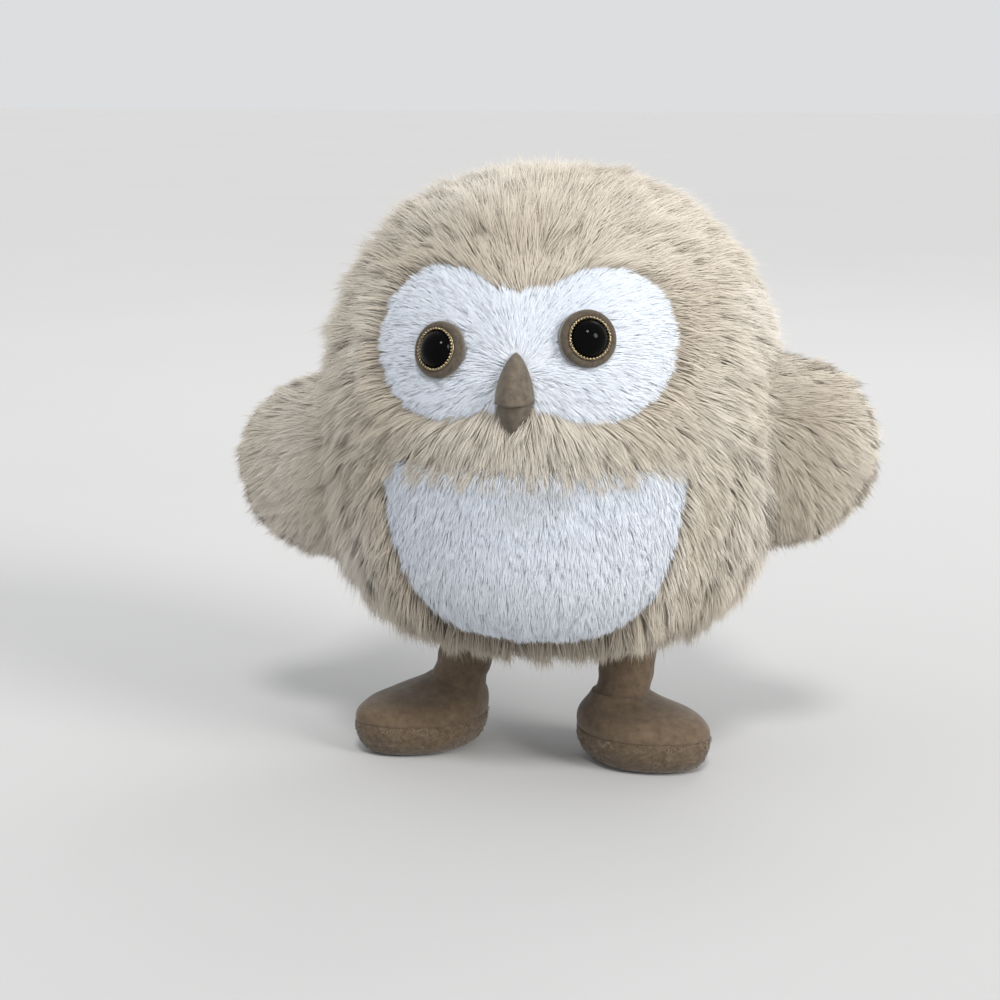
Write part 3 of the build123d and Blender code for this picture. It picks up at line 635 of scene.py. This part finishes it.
PANEL_TUCK = 2 * MM
PANEL_DIP = 3.5 * MM
PANEL_EDGES = (-6 * MM, -4 * MM, -2 * MM)
ZIP_DIP = 5.5 * MM
coat_form = push(egg_rings(SKIN_INSET, 72, 144), 1.2 * MM, 50 * MM, 3)
coat_skin = loft("coat_skin", sunk_for_panels(coat_form))
mask_skin = loft("mask_skin", panel_rings(in_mask, 0.0, LOBE_Z, WHITE_INSET - 1 * MM))
belly_skin = loft("belly_skin", panel_rings(in_belly, BELLY_X, BELLY_TOP - 36 * MM, WHITE_INSET - 1 * MM))
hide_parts("fur_coat")
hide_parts("face_mask")
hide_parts("belly_panel")
dress(coat_skin, "coat_backing", "torso")
dress(mask_skin, "white_backing", "torso")
dress(belly_skin, "white_backing", "torso")

body_fill = loft("body_fill", push(egg_rings(FILL_INSET, 40, 80), 1.5 * MM, 30 * MM, 5))
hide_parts("body_stuffing")
dress(body_fill, "stuffing", "torso")


def eye_centre(side):
    low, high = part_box("eye_suede_ring_" + side)
    return np.array((low + high) / 2)


def clear_of_face(roots, eye_room, beak_room):
    """True where a root keeps clear of both eyes and the beak."""
    clear = np.ones(len(roots), bool)
    for side, _ in SIDES:
        clear &= np.linalg.norm(roots - eye_centre(side), axis=-1) > eye_room
    low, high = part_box("beak_upper")
    beak_x = (high.x - low.x) / 2 + beak_room
    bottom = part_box("beak_lower")[0].z
    middle_x = (high.x + low.x) / 2
    narrowing = np.clip((high.z + 4 * MM - roots[:, 2]) / (14 * MM), 0, 1)
    narrowing *= np.clip((roots[:, 2] - bottom - 2 * MM) / (10 * MM), 0, 1)
    at_beak = (np.abs(roots[:, 0] - middle_x) < beak_x * narrowing) & (roots[:, 1] < BODY[1])
    return clear & ~at_beak


def coat_flow(roots, normals):
    """The way the long fur lies: out from the face, and down at the chin, brow, sides and back."""
    from_face = along_surface(roots - FACE_CENTRE, normals)
    down = along_surface(np.broadcast_to(DOWN, roots.shape), normals)
    height = roots[:, 2] - BODY[2]
    depth = roots[:, 1] - BODY[1]
    radial = 0.25 + 0.6 * smooth(-depth, -0.09, 0.05)
    radial = radial * (1 - 0.55 * smooth(-height, -0.03, 0.05))
    return unit(from_face * radial[:, None] + down * (1 - radial)[:, None])


def long_lengths(roots):
    """Shorter round the face, longer over the sides and the chest."""
    x = roots[:, 0]
    height = roots[:, 2] - BODY[2]
    ahead = roots[:, 1] < BODY[1]
    brow = in_mask(x, height, 12 * MM) & (height > LOBE_Z)
    over_belly = in_belly(x, height, 14 * MM)
    across = np.hypot(x, roots[:, 1] - BODY[1])
    low_down = height < -62 * MM
    lengths = np.full(len(roots), 19 * MM)
    lengths[ahead & in_mask(x, height, 9 * MM)] = 14 * MM
    lengths[ahead & brow & (np.abs(x) < 20 * MM)] = 10 * MM
    lengths[ahead & over_belly] = 12 * MM
    lengths[low_down] = np.where(across > 45 * MM, 17 * MM, 9 * MM)[low_down]
    return lengths


COAT_STRANDS = 290000
ZIP_BARE_HALF_WIDTH = 9 * MM
EYE_ROOM_LONG = 11.5 * MM
EYE_ROOM_WHITE = 11.8 * MM
BEAK_ROOM = -1 * MM
WHITE_LENGTH = 6.5 * MM
HEAD_START = 62 * MM
roots, normals = scatter(coat_skin, COAT_STRANDS, 11)
front = roots[:, 1] < BODY[1]
x = roots[:, 0]
height = roots[:, 2] - BODY[2]
bare = front & (in_mask(x, height, -1 * MM) | in_belly(x, height, -2 * MM))
for side, _ in SIDES:
    low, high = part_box("leg_velvet_" + side)
    middle = np.array((low + high) / 2)
    bare |= (np.hypot(x - middle[0], roots[:, 1] - middle[1]) < LEG_RADIUS) & (height < 0)
zip_low, zip_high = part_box("zip_teeth")
along_zip = (roots[:, 1] > zip_low.y) & (roots[:, 1] < zip_high.y)
bare |= (np.abs(x) < ZIP_BARE_HALF_WIDTH) & (height < -80 * MM) & along_zip
keep = ~bare & clear_of_face(roots, EYE_ROOM_LONG, BEAK_ROOM)
roots = roots[keep]
normals = normals[keep]
flow = coat_flow(roots, normals)
lengths = long_lengths(roots)
turn = np.degrees(np.arctan2(roots[:, 0] - BODY[0], BODY[1] - roots[:, 1]))
high_up = roots[:, 2] - BODY[2] > HEAD_START
coat_parts = (
    ("coat_fur_brow", high_up & (np.abs(turn) < 90)),
    ("coat_fur_crown", high_up & (np.abs(turn) >= 90)),
    ("coat_fur_front", ~high_up & (np.abs(turn) < 45)),
    ("coat_fur_right", ~high_up & (turn >= 45) & (turn < 100)),
    ("coat_fur_left", ~high_up & (turn <= -45) & (turn > -100)),
    ("coat_fur_back_right", ~high_up & (turn >= 100)),
    ("coat_fur_back_left", ~high_up & (turn <= -100)),
)
# Painted shade: the coat's fur is painted darker towards the bottom of the body, where shade falls.
low_shade = smooth(BODY[2] - roots[:, 2], 45 * MM, 90 * MM)
for number, (name, chosen) in enumerate(coat_parts):
    fur = grow(name, roots[chosen], normals[chosen], flow[chosen], lengths[chosen], LONG_PILE,
               100 + number, low_shade[chosen])
    dress(fur, "long_fur", "torso")

MASK_STRANDS = 65000
BELLY_STRANDS = 65000
face_from = FACE_CENTRE + np.array((0, 0, -8 * MM))
for name, skin, count, gravity, seed in (
        ("mask_fur", mask_skin, MASK_STRANDS, 0.25, 21),
        ("belly_fur", belly_skin, BELLY_STRANDS, 2.5, 22)):
    roots, normals = scatter(skin, count, seed)
    keep = (normals[:, 1] < -0.1) & clear_of_face(roots, EYE_ROOM_WHITE, BEAK_ROOM)
    roots = roots[keep]
    normals = normals[keep]
    away = along_surface(roots - face_from, normals)
    down = along_surface(np.broadcast_to(DOWN, roots.shape), normals)
    flow = unit(away + down * gravity)
    fur = grow(name, roots, normals, flow, np.full(len(roots), WHITE_LENGTH), WHITE_PILE, seed + 100)
    dress(fur, "white_pile", "torso")

# ---- wings ----

WING_STRANDS = 46000
WING_SKIN_INSET = 5.5 * MM
WING_FUR = 12 * MM
WING_CREASE_IN = {"left": 36 * MM, "right": 16 * MM}
WING_CREASE_UP = 14 * MM
WING_HANG = {"left": 9, "right": -5}
WING_RAISE = 3 * MM
WING_FLATTENING = 0.9
WING_FORWARD = 8 * MM
joints = {joint["name"]: joint for joint in frame["joints"]}


def joint_point(name):
    return np.array(joints[name]["pos_m"])


def hung(points, side, sign):
    """Each stuffed wing sags or lifts a little from its lever, by WING_HANG degrees down."""
    pivot = joint_point(f"wing_{side}_flap")
    drop = math.radians(WING_HANG[side])
    out = (points[..., 0] - pivot[0]) * sign
    up = points[..., 2] - pivot[2]
    moved = np.array(points)
    moved[..., 0] = pivot[0] + sign * (out * math.cos(drop) + up * math.sin(drop))
    moved[..., 2] = pivot[2] - out * math.sin(drop) + up * math.cos(drop)
    return moved


def wing_rings(side, inset, rows=24, columns=64):
    """A thick lens round the wing's lever, from its back to its front."""
    low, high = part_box("wing_fur_" + side)
    radius = (high.z - low.z) / 2
    half_depth = (high.y - low.y) / 2
    tip = low.x if side == "left" else high.x
    sign = -1 if side == "left" else 1
    middle = np.array((
        tip - sign * radius, (low.y + high.y) / 2 - WING_FORWARD, (low.z + high.z) / 2 + WING_RAISE))
    around = np.linspace(0, 2 * math.pi, columns, endpoint=False)
    rings = []
    for row in range(1, rows):
        turn = math.pi * (0.5 - row / rows)
        across = (radius - inset) * math.cos(turn)
        depth = (half_depth - inset * 0.8) * math.sin(turn)
        flattened = WING_FLATTENING * across * np.sin(around)
        ring = np.stack((across * np.cos(around), np.full(columns, depth), flattened), axis=-1)
        rings.append(middle + ring)
    return hung(np.array(rings), side, sign), hung(middle, side, sign)


for side, sign in SIDES:
    rings, middle = wing_rings(side, WING_SKIN_INSET)
    skin = loft("wing_skin_" + side, push(rings, 1 * MM, 30 * MM, 31))
    fill_rings, _ = wing_rings(side, WING_SKIN_INSET + 3 * MM, 16, 40)
    fill = loft("wing_fill_" + side, fill_rings)
    roots, normals = scatter(skin, WING_STRANDS, 33 + sign)
    height = roots[:, 2] - BODY[2]
    out = np.hypot(roots[:, 0], roots[:, 1] - BODY[1])
    keep = out > egg_radius(height, SKIN_INSET) - 2 * MM
    roots = roots[keep]
    normals = normals[keep]
    crease = middle + np.array((-sign * WING_CREASE_IN[side], 0, WING_CREASE_UP))
    away = along_surface(roots - crease, normals)
    down = along_surface(np.broadcast_to(DOWN, roots.shape), normals)
    outward = along_surface(np.broadcast_to((sign, 0, 0.2), roots.shape), normals)
    above = smooth(roots[:, 2] - crease[2], -2 * MM, 4 * MM)[:, None]
    flow = unit((away + down * 0.35) * (1 - above) + outward * above)
    fur = grow("wing_fringe_" + side, roots, normals, flow,
               np.full(len(roots), WING_FUR), LONG_PILE, 41 + sign)
    for piece, material, slot in (
            (skin, "coat_backing", "long_fur"),
            (fill, "stuffing", "stuffing"),
            (fur, "long_fur", "long_fur")):
        dress(piece, material)
        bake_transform(piece)
    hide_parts("wing_fur_" + side)
    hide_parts("wing_padding_" + side)

# ---- beak ----

def beak_rings(width_at, depth_at, centre_at, levels, ridge, columns=48):
    """Rings across a beak half: each a rounded triangle in plan, with its ridge in front."""
    rings = []
    around = np.linspace(0, 2 * math.pi, columns, endpoint=False)
    for level in levels:
        width = width_at(level)
        depth = depth_at(level)
        side = np.sin(around)
        ahead = np.cos(around)
        narrow = 1 - ridge * np.clip(ahead, 0, 1) ** 2
        x = width * side * narrow
        y = -depth * np.where(ahead > 0, ahead, ahead * 0.5)
        z = np.full(columns, centre_at(level))
        rings.append(np.stack((x, y, z), axis=-1))
    return np.array(rings)


upper_low, upper_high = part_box("beak_upper")
lower_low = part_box("beak_lower")[0]
beak_width = (upper_high.x - upper_low.x) / 2
crease_z = upper_low.z
beak_y = BODY[1] - float(egg_radius(np.array(crease_z - BODY[2]), 5 * MM)) + 3 * MM
upper_height = upper_high.z - crease_z + 3 * MM
lower_height = crease_z - lower_low.z
levels = np.linspace(0, 1, 18)
upper = beak_rings(
    lambda t: beak_width * (1 - t ** 1.8) ** 0.75 + 0.4 * MM,
    lambda t: 12.5 * MM * (1 - t ** 1.6) ** 0.7 + 0.5 * MM,
    lambda t: crease_z + upper_height * t, levels, 0.25)
upper[..., 1] += (levels ** 2 * 3 * MM)[:, None]
beak_x = (upper_low.x + upper_high.x) / 2
beak_top = loft("beak_top", upper + np.array((beak_x, beak_y, 0)))
lower = beak_rings(
    lambda t: beak_width * 0.86 * (1 - t ** 2) ** 0.6 + 0.3 * MM,
    lambda t: 9 * MM * (1 - t ** 2) ** 0.6 + 0.4 * MM,
    lambda t: crease_z - 0.3 * MM - lower_height * t, levels, 0.2)
beak_chin = loft("beak_chin", (lower + np.array((beak_x, beak_y, 0)))[::-1])
for piece, node in ((beak_top, "beak_upper"), (beak_chin, "beak_lower")):
    dress(piece, "beak_suede", "torso")
    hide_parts(node)

# ---- eyes ----

def dome_rings():
    """A glossy dome, from its foot to its crown."""
    cap = (DOME_RADIUS ** 2 + DOME_HEIGHT ** 2) / (2 * DOME_HEIGHT)
    widest = math.asin(DOME_RADIUS / cap)
    rings = [(DOME_RADIUS * 0.98, 0.0), (DOME_RADIUS, SUEDE_HEIGHT * 0.9)]
    for step in range(1, 14):
        turn = widest * (1 - step / 14)
        rings.append((cap * math.sin(turn), SUEDE_HEIGHT + DOME_HEIGHT - cap + cap * math.cos(turn)))
    return rings


def suede_rings():
    """A padded suede ring: up its inner wall, over its crown and down its outer edge."""
    inner = DOME_RADIUS + 0.05 * MM
    crown = (inner + SUEDE_RADIUS) / 2
    half = (SUEDE_RADIUS - inner) / 2
    rings = [(inner, 0.0)]
    for step in range(13):
        turn = math.pi * step / 12
        height = SUEDE_HEIGHT * 0.45 + SUEDE_HEIGHT * 0.6 * math.sin(turn)
        rings.append((crown - half * math.cos(turn), height))
    rings.append((SUEDE_RADIUS, -2 * MM))
    return rings


def turned_form(profile, columns=64):
    """Rings round +Z from pairs of radius and height."""
    around = np.linspace(0, 2 * math.pi, columns, endpoint=False)
    return np.array([
        np.stack((radius * np.cos(around), radius * np.sin(around), np.full(columns, up)), axis=-1)
        for radius, up in profile])


def bead_ring():
    """A thin gold band set with small round beads."""
    vertices = []
    faces = []
    band = turned_form(((BEAD_CIRCLE - 0.45 * MM, 0.0), (BEAD_CIRCLE - 0.45 * MM, 0.4 * MM),
                        (BEAD_CIRCLE + 0.4 * MM, 0.4 * MM), (BEAD_CIRCLE + 0.6 * MM, 0.0)), 96)
    columns = band.shape[1]
    vertices += list(band.reshape(-1, 3))
    for row in range(4):
        low = row * columns
        high = (row + 1) % 4 * columns
        for column in range(columns):
            following = (column + 1) % columns
            faces.append((low + column, high + column, high + following, low + following))
    segments = 10
    for bead in range(BEADS):
        around = 2 * math.pi * bead / BEADS
        centre = np.array((BEAD_CIRCLE * math.cos(around), BEAD_CIRCLE * math.sin(around), 0.9 * MM))
        first = len(vertices)
        for row in range(1, segments // 2):
            tilt = math.pi * row / (segments // 2)
            for column in range(segments):
                spin = 2 * math.pi * column / segments
                direction = np.array((
                    math.sin(tilt) * math.cos(spin), math.sin(tilt) * math.sin(spin), math.cos(tilt)))
                vertices.append(centre + BEAD_RADIUS * direction)
        top = len(vertices)
        vertices.append(centre + np.array((0, 0, BEAD_RADIUS)))
        vertices.append(centre - np.array((0, 0, BEAD_RADIUS)))
        rows = segments // 2 - 1
        for row in range(rows - 1):
            for column in range(segments):
                following = (column + 1) % segments
                a = first + row * segments
                faces.append((a + column, a + segments + column, a + segments + following, a + following))
        for column in range(segments):
            following = (column + 1) % segments
            last = first + (rows - 1) * segments
            faces.append((top, first + column, first + following))
            faces.append((top + 1, last + following, last + column))
    return vertices, faces


for side, sign in SIDES:
    turn = math.radians(EYE_TURN)
    tilt = math.radians(EYE_TILT)
    facing = Vector((
        sign * math.sin(turn) * math.cos(tilt), -math.cos(turn) * math.cos(tilt), math.sin(tilt)))
    foot = Vector(eye_centre(side)) - facing * SUEDE_HEIGHT / 2
    across = facing.cross(Vector((0, 0, 1))).normalized() * -1
    upward = facing.cross(across).normalized()
    place = Matrix((across, upward, facing)).transposed().to_4x4()
    place.translation = foot
    dome = loft("eye_ball_" + side, turned_form(dome_rings()))
    suede_form = turned_form(suede_rings())
    columns = suede_form.shape[1]
    rows = suede_form.shape[0]
    suede_faces = []
    for row in range(rows):
        low = row * columns
        high = (row + 1) % rows * columns
        for column in range(columns):
            following = (column + 1) % columns
            suede_faces.append((low + column, low + following, high + following, high + column))
    suede = new_piece("eye_rim_" + side, suede_form.reshape(-1, 3), suede_faces)
    bead_vertices, bead_faces = bead_ring()
    beads = new_piece("eye_beads_" + side, bead_vertices, bead_faces)
    beads.data.transform(Matrix.Translation((0, 0, SUEDE_HEIGHT)))
    for piece, material, node in (
            (dome, "black_dome", "eye_dome_"), (suede, "eye_suede", "eye_suede_ring_"),
            (beads, "gold_beads", "eye_gold_ring_")):
        piece.data.transform(place)
        dress(piece, material, "torso")
        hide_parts(node + side)

# ---- legs and feet ----

def leg_rings(hip, ankle, radius, rows=34, columns=48):
    """A stuffed tube from inside the body to inside the foot, creased above the ankle."""
    along = unit(ankle - hip)
    side = unit(np.cross(along, (0, 1, 0)))
    front = np.cross(side, along)
    around = np.linspace(0, 2 * math.pi, columns, endpoint=False)
    length = np.linalg.norm(ankle - hip)
    rings = []
    for row in range(rows):
        share = row / (rows - 1)
        place = -LEG_INSIDE_BODY + share * (length + LEG_INSIDE_BODY + LEG_PAST_ANKLE)
        end_round = min(share, 1 - share) * rows / 5
        cap = math.sqrt(1 - (1 - min(end_round, 1)) ** 2) * 0.98 + 0.02
        crease = 0.035 * math.sin(place / (6 * MM) * math.pi) * float(smooth(np.array(share), 0.3, 0.7))
        circle = np.cos(around)[:, None] * side + np.sin(around)[:, None] * front
        swell = 1 + crease + 0.012 * np.sin(2 * around + 5 * share)
        rings.append(hip + along * place + circle * (radius * cap * swell)[:, None])
    return np.array(rings)


def foot_outline(angles, grow_by=0.0):
    """Half sizes of an almond foot at angles from its toe, with a point at toe and heel."""
    length = FOOT_HALF_LENGTH + grow_by
    width = FOOT_HALF_WIDTH + grow_by
    toe = np.cos(angles)
    side = np.sin(angles)
    reach = (np.abs(toe / length) ** 1.75 + np.abs(side / width) ** 1.75) ** (-1 / 1.75)
    return np.stack((side * reach, -toe * reach), axis=-1)


def foot_rings(middle, heading, ankle, columns=96):
    """Rings of the upper, from its tucked-in seam up over the foot to the sleeve round the ankle."""
    angles = np.linspace(0, 2 * math.pi, columns, endpoint=False)
    flat = foot_outline(angles)
    spin = np.array(((math.cos(heading), math.sin(heading)), (-math.sin(heading), math.cos(heading))))
    edge = flat @ spin + middle[:2]
    outward = unit(edge - ankle[:2])
    sleeve = ankle[:2] + outward * (LEG_RADIUS + 0.6 * MM)
    far = np.linalg.norm(edge - sleeve, axis=-1, keepdims=True)
    flat_points = (edge, edge + outward * 1.5 * MM, sleeve + outward * far * 0.42, sleeve)
    heights = (SEAM_Z, SEAM_Z + 9 * MM, ANKLE_TOP - 6 * MM, ANKLE_TOP)
    rings = [np.column_stack((edge - outward * 2.5 * MM, np.full(columns, SEAM_Z - 2 * MM))),
             np.column_stack((edge - outward * 1.0 * MM, np.full(columns, SEAM_Z - 0.7 * MM)))]
    for t in np.linspace(0, 1, 30):
        weights = ((1 - t) ** 3, 3 * t * (1 - t) ** 2, 3 * t ** 2 * (1 - t), t ** 3)
        xy = sum(weight * point for weight, point in zip(weights, flat_points))
        z = sum(weight * height for weight, height in zip(weights, heights))
        rings.append(np.column_stack((xy, np.full(columns, z))))
    return np.array(rings), edge


def sole_rings(edge, middle):
    """Rings of the stuffed sole, from inside the seam out over its bulge and in under the flat."""
    rings = []
    outward = unit(edge - middle[:2])
    profile = (
        (-3.0 * MM, SEAM_Z + 1.0 * MM), (-1.2 * MM, SEAM_Z + 0.3 * MM), (-0.2 * MM, SEAM_Z - 0.4 * MM),
        (0.1 * MM, SEAM_Z * 0.86), (-0.2 * MM, SEAM_Z * 0.68), (-1.2 * MM, SEAM_Z * 0.46),
        (-3.0 * MM, SEAM_Z * 0.26), (-5.2 * MM, SEAM_Z * 0.12), (-7.8 * MM, SEAM_Z * 0.03),
        (-10.5 * MM, 0.0), (-14 * MM, 0.0))
    for bulge, z in profile:
        xy = edge + outward * bulge
        rings.append(np.column_stack((xy, np.full(len(edge), z))))
    return np.array(rings)


for side, sign in SIDES:
    hip = joint_point("hip_" + side)
    ankle = joint_point("ankle_" + side)
    foot_body = f"foot_{side}_body"
    leg = loft("leg_" + side, leg_rings(hip, ankle, LEG_RADIUS))
    leg_fill = loft("leg_fill_" + side, leg_rings(hip, ankle, LEG_RADIUS - 2 * MM, 20, 24))
    for piece, material, slot, node in (
            (leg, "brown_velvet", "brown_velvet", "leg_velvet_"),
            (leg_fill, "stuffing", "stuffing", "leg_stuffing_")):
        dress(piece, material)
        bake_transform(piece)
        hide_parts(node + side)
    toe_turn = math.radians(TOE_OUT[side])
    heading = sign * toe_turn
    toe = np.array((sign * math.sin(toe_turn), -math.cos(toe_turn)))
    middle = np.array((*(ankle[:2] + toe * HEEL_TO_TOE_SHIFT[side]), SEAM_Z))
    rings, edge = foot_rings(middle, heading, ankle)
    upper = loft("foot_top_" + side, push(rings, 0.5 * MM, 16 * MM, 61 + sign))
    dress(upper, "brown_velvet")
    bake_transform(upper)
    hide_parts("foot_upper_" + side)
    sole = loft("foot_pad_" + side, sole_rings(edge, middle)[::-1])
    roots, normals = scatter(sole, SOLE_NAP, 71 + sign)
    keep = (roots[:, 2] > 2 * MM) & (roots[:, 2] < SEAM_Z + 0.2 * MM)
    roots = roots[keep]
    normals = normals[keep]
    around_foot = along_surface(np.cross(normals, (0, 0, 1)) * sign + DOWN * 0.5, normals)
    nap = grow("sole_nap_" + side, roots, normals, around_foot,
               np.full(len(roots), 1.1 * MM), NAP, 81 + sign)
    dress(nap, "brown_nap", foot_body)
    roots, normals = scatter(sole, SEAM_FUZZ, 91 + sign)
    brushed = ripple(roots, 14 * MM, 93 + sign) > -0.1
    keep = (np.abs(roots[:, 2] - SEAM_Z + 1.5 * MM) < 1.8 * MM) & brushed & (normals[:, 2] < 0.5)
    fuzz_flow = along_surface(DOWN + 0.6 * np.cross(normals[keep], (0, 0, 1)), normals[keep])
    fuzz = grow("seam_fuzz_" + side, roots[keep], normals[keep], fuzz_flow,
                np.full(keep.sum(), 1.8 * MM), NAP, 95 + sign)
    dress(fuzz, "seam_fuzz", foot_body)
    dress(sole, "brushed_sole", foot_body)
    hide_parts("foot_sole_" + side)
    inside = middle + (sole_rings(edge, middle) - middle) * FOOT_FILL_SCALE
    foot_fill = loft("foot_fill_" + side, inside[::-1] + FOOT_FILL_SINK * DOWN)
    dress(foot_fill, "stuffing", foot_body)
    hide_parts("foot_stuffing_" + side)
    low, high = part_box("foot_pellet_bag_" + side)
    bag_middle = np.array((low + high) / 2)
    bag_half = np.array((high - low) / 2)
    around = np.linspace(0, 2 * math.pi, 32, endpoint=False)
    bag = []
    for row in range(1, 12):
        tilt = math.pi * (row / 12 - 0.5)
        lump = 1 + 0.04 * np.sin(5 * around + row)
        bag.append(bag_middle + np.stack((
            bag_half[0] * math.cos(tilt) * np.cos(around) * lump,
            bag_half[1] * math.cos(tilt) * np.sin(around) * lump,
            np.full(32, bag_half[2] * math.sin(tilt))), axis=-1))
    pellet_bag = loft("pellet_bag_" + side, bag)
    dress(pellet_bag, "pellets", foot_body)
    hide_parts("foot_pellet_bag_" + side)

# ---- hard pieces keep their CAD shape and get their material ----

for part in frame["record"]["subparts"]:
    node = frame["nodes"][part["node"]]
    if not node.hide_render:
        node.data.materials.clear()
        node.data.materials.append(materials[part["material_slot"]])

# ---- floor, light and camera ----

FLOOR_HALF = 8.0
floor = new_piece("floor", [
    (-FLOOR_HALF, -FLOOR_HALF, 0), (FLOOR_HALF, -FLOOR_HALF, 0),
    (FLOOR_HALF, FLOOR_HALF, 0), (-FLOOR_HALF, FLOOR_HALF, 0)], [(0, 1, 2, 3)])
floor.location.z = -0.2 * MM
floor.data.materials.append(surface_material(
    "floor", Finish(colour(190, 190, 190), colour(192, 192, 192), 0.4, 0.9)))


def area_light(name, place, aim, size, power, shade):
    light = bpy.data.lights.new(name, "AREA")
    light.size = size
    light.energy = power
    light.color = shade
    lamp = bpy.data.objects.new(name, light)
    lamp.location = place
    lamp.rotation_euler = (Vector(aim) - Vector(place)).to_track_quat("-Z", "Y").to_euler()
    bpy.context.scene.collection.objects.link(lamp)


def far_light(name, aim, angle, power, shade):
    """A light from far away, soft-edged by the angle it fills."""
    light = bpy.data.lights.new(name, "SUN")
    light.angle = math.radians(angle)
    light.energy = power
    light.color = shade
    lamp = bpy.data.objects.new(name, light)
    lamp.rotation_euler = Vector(aim).to_track_quat("-Z", "Y").to_euler()
    bpy.context.scene.collection.objects.link(lamp)


middle = tuple(BODY)
area_light("fill", (-1.3, -0.9, 0.6), middle, 1.2, 0.6, (0.88, 0.94, 1.0))
area_light("back", (0.4, 1.2, 1.4), middle, 0.8, 5, (1.0, 1.0, 1.0))
far_light("key", (-0.8, 0.48, -0.4), 22, 2.1, (1.0, 0.985, 0.955))
far_light("top", (-0.12, 0.62, -0.78), 11, 1.4, (1.0, 0.99, 0.97))
world = bpy.data.worlds.new("studio")
world.use_nodes = True
world.node_tree.nodes["Background"].inputs["Color"].default_value = (0.975, 0.985, 1.0, 1)
world.node_tree.nodes["Background"].inputs["Strength"].default_value = 0.74
bpy.context.scene.world = world
bpy.context.scene.view_settings.view_transform = "Standard"

CAMERA_TURN = math.radians(10)
CAMERA_HEIGHT = math.radians(12)
CAMERA_DISTANCE = 1.0
BODY_RIGHT_OF_MIDDLE = 23 * MM
BODY_ABOVE_MIDDLE = 39.6 * MM
ahead = Vector((-math.sin(CAMERA_TURN) * math.cos(CAMERA_HEIGHT),
                math.cos(CAMERA_TURN) * math.cos(CAMERA_HEIGHT), -math.sin(CAMERA_HEIGHT)))
right = Vector((math.cos(CAMERA_TURN), math.sin(CAMERA_TURN), 0))
above = right.cross(ahead)
aim = Vector(BODY) - right * BODY_RIGHT_OF_MIDDLE - above * BODY_ABOVE_MIDDLE
camera_data = bpy.data.cameras.new("camera")
camera_data.lens = 80
camera_data.sensor_width = 36
camera = bpy.data.objects.new("camera", camera_data)
camera.location = aim - ahead * CAMERA_DISTANCE
camera.rotation_euler = ahead.to_track_quat("-Z", "Y").to_euler()
bpy.context.scene.collection.objects.link(camera)
bpy.context.scene.camera = camera

bpy.context.view_layer.update()
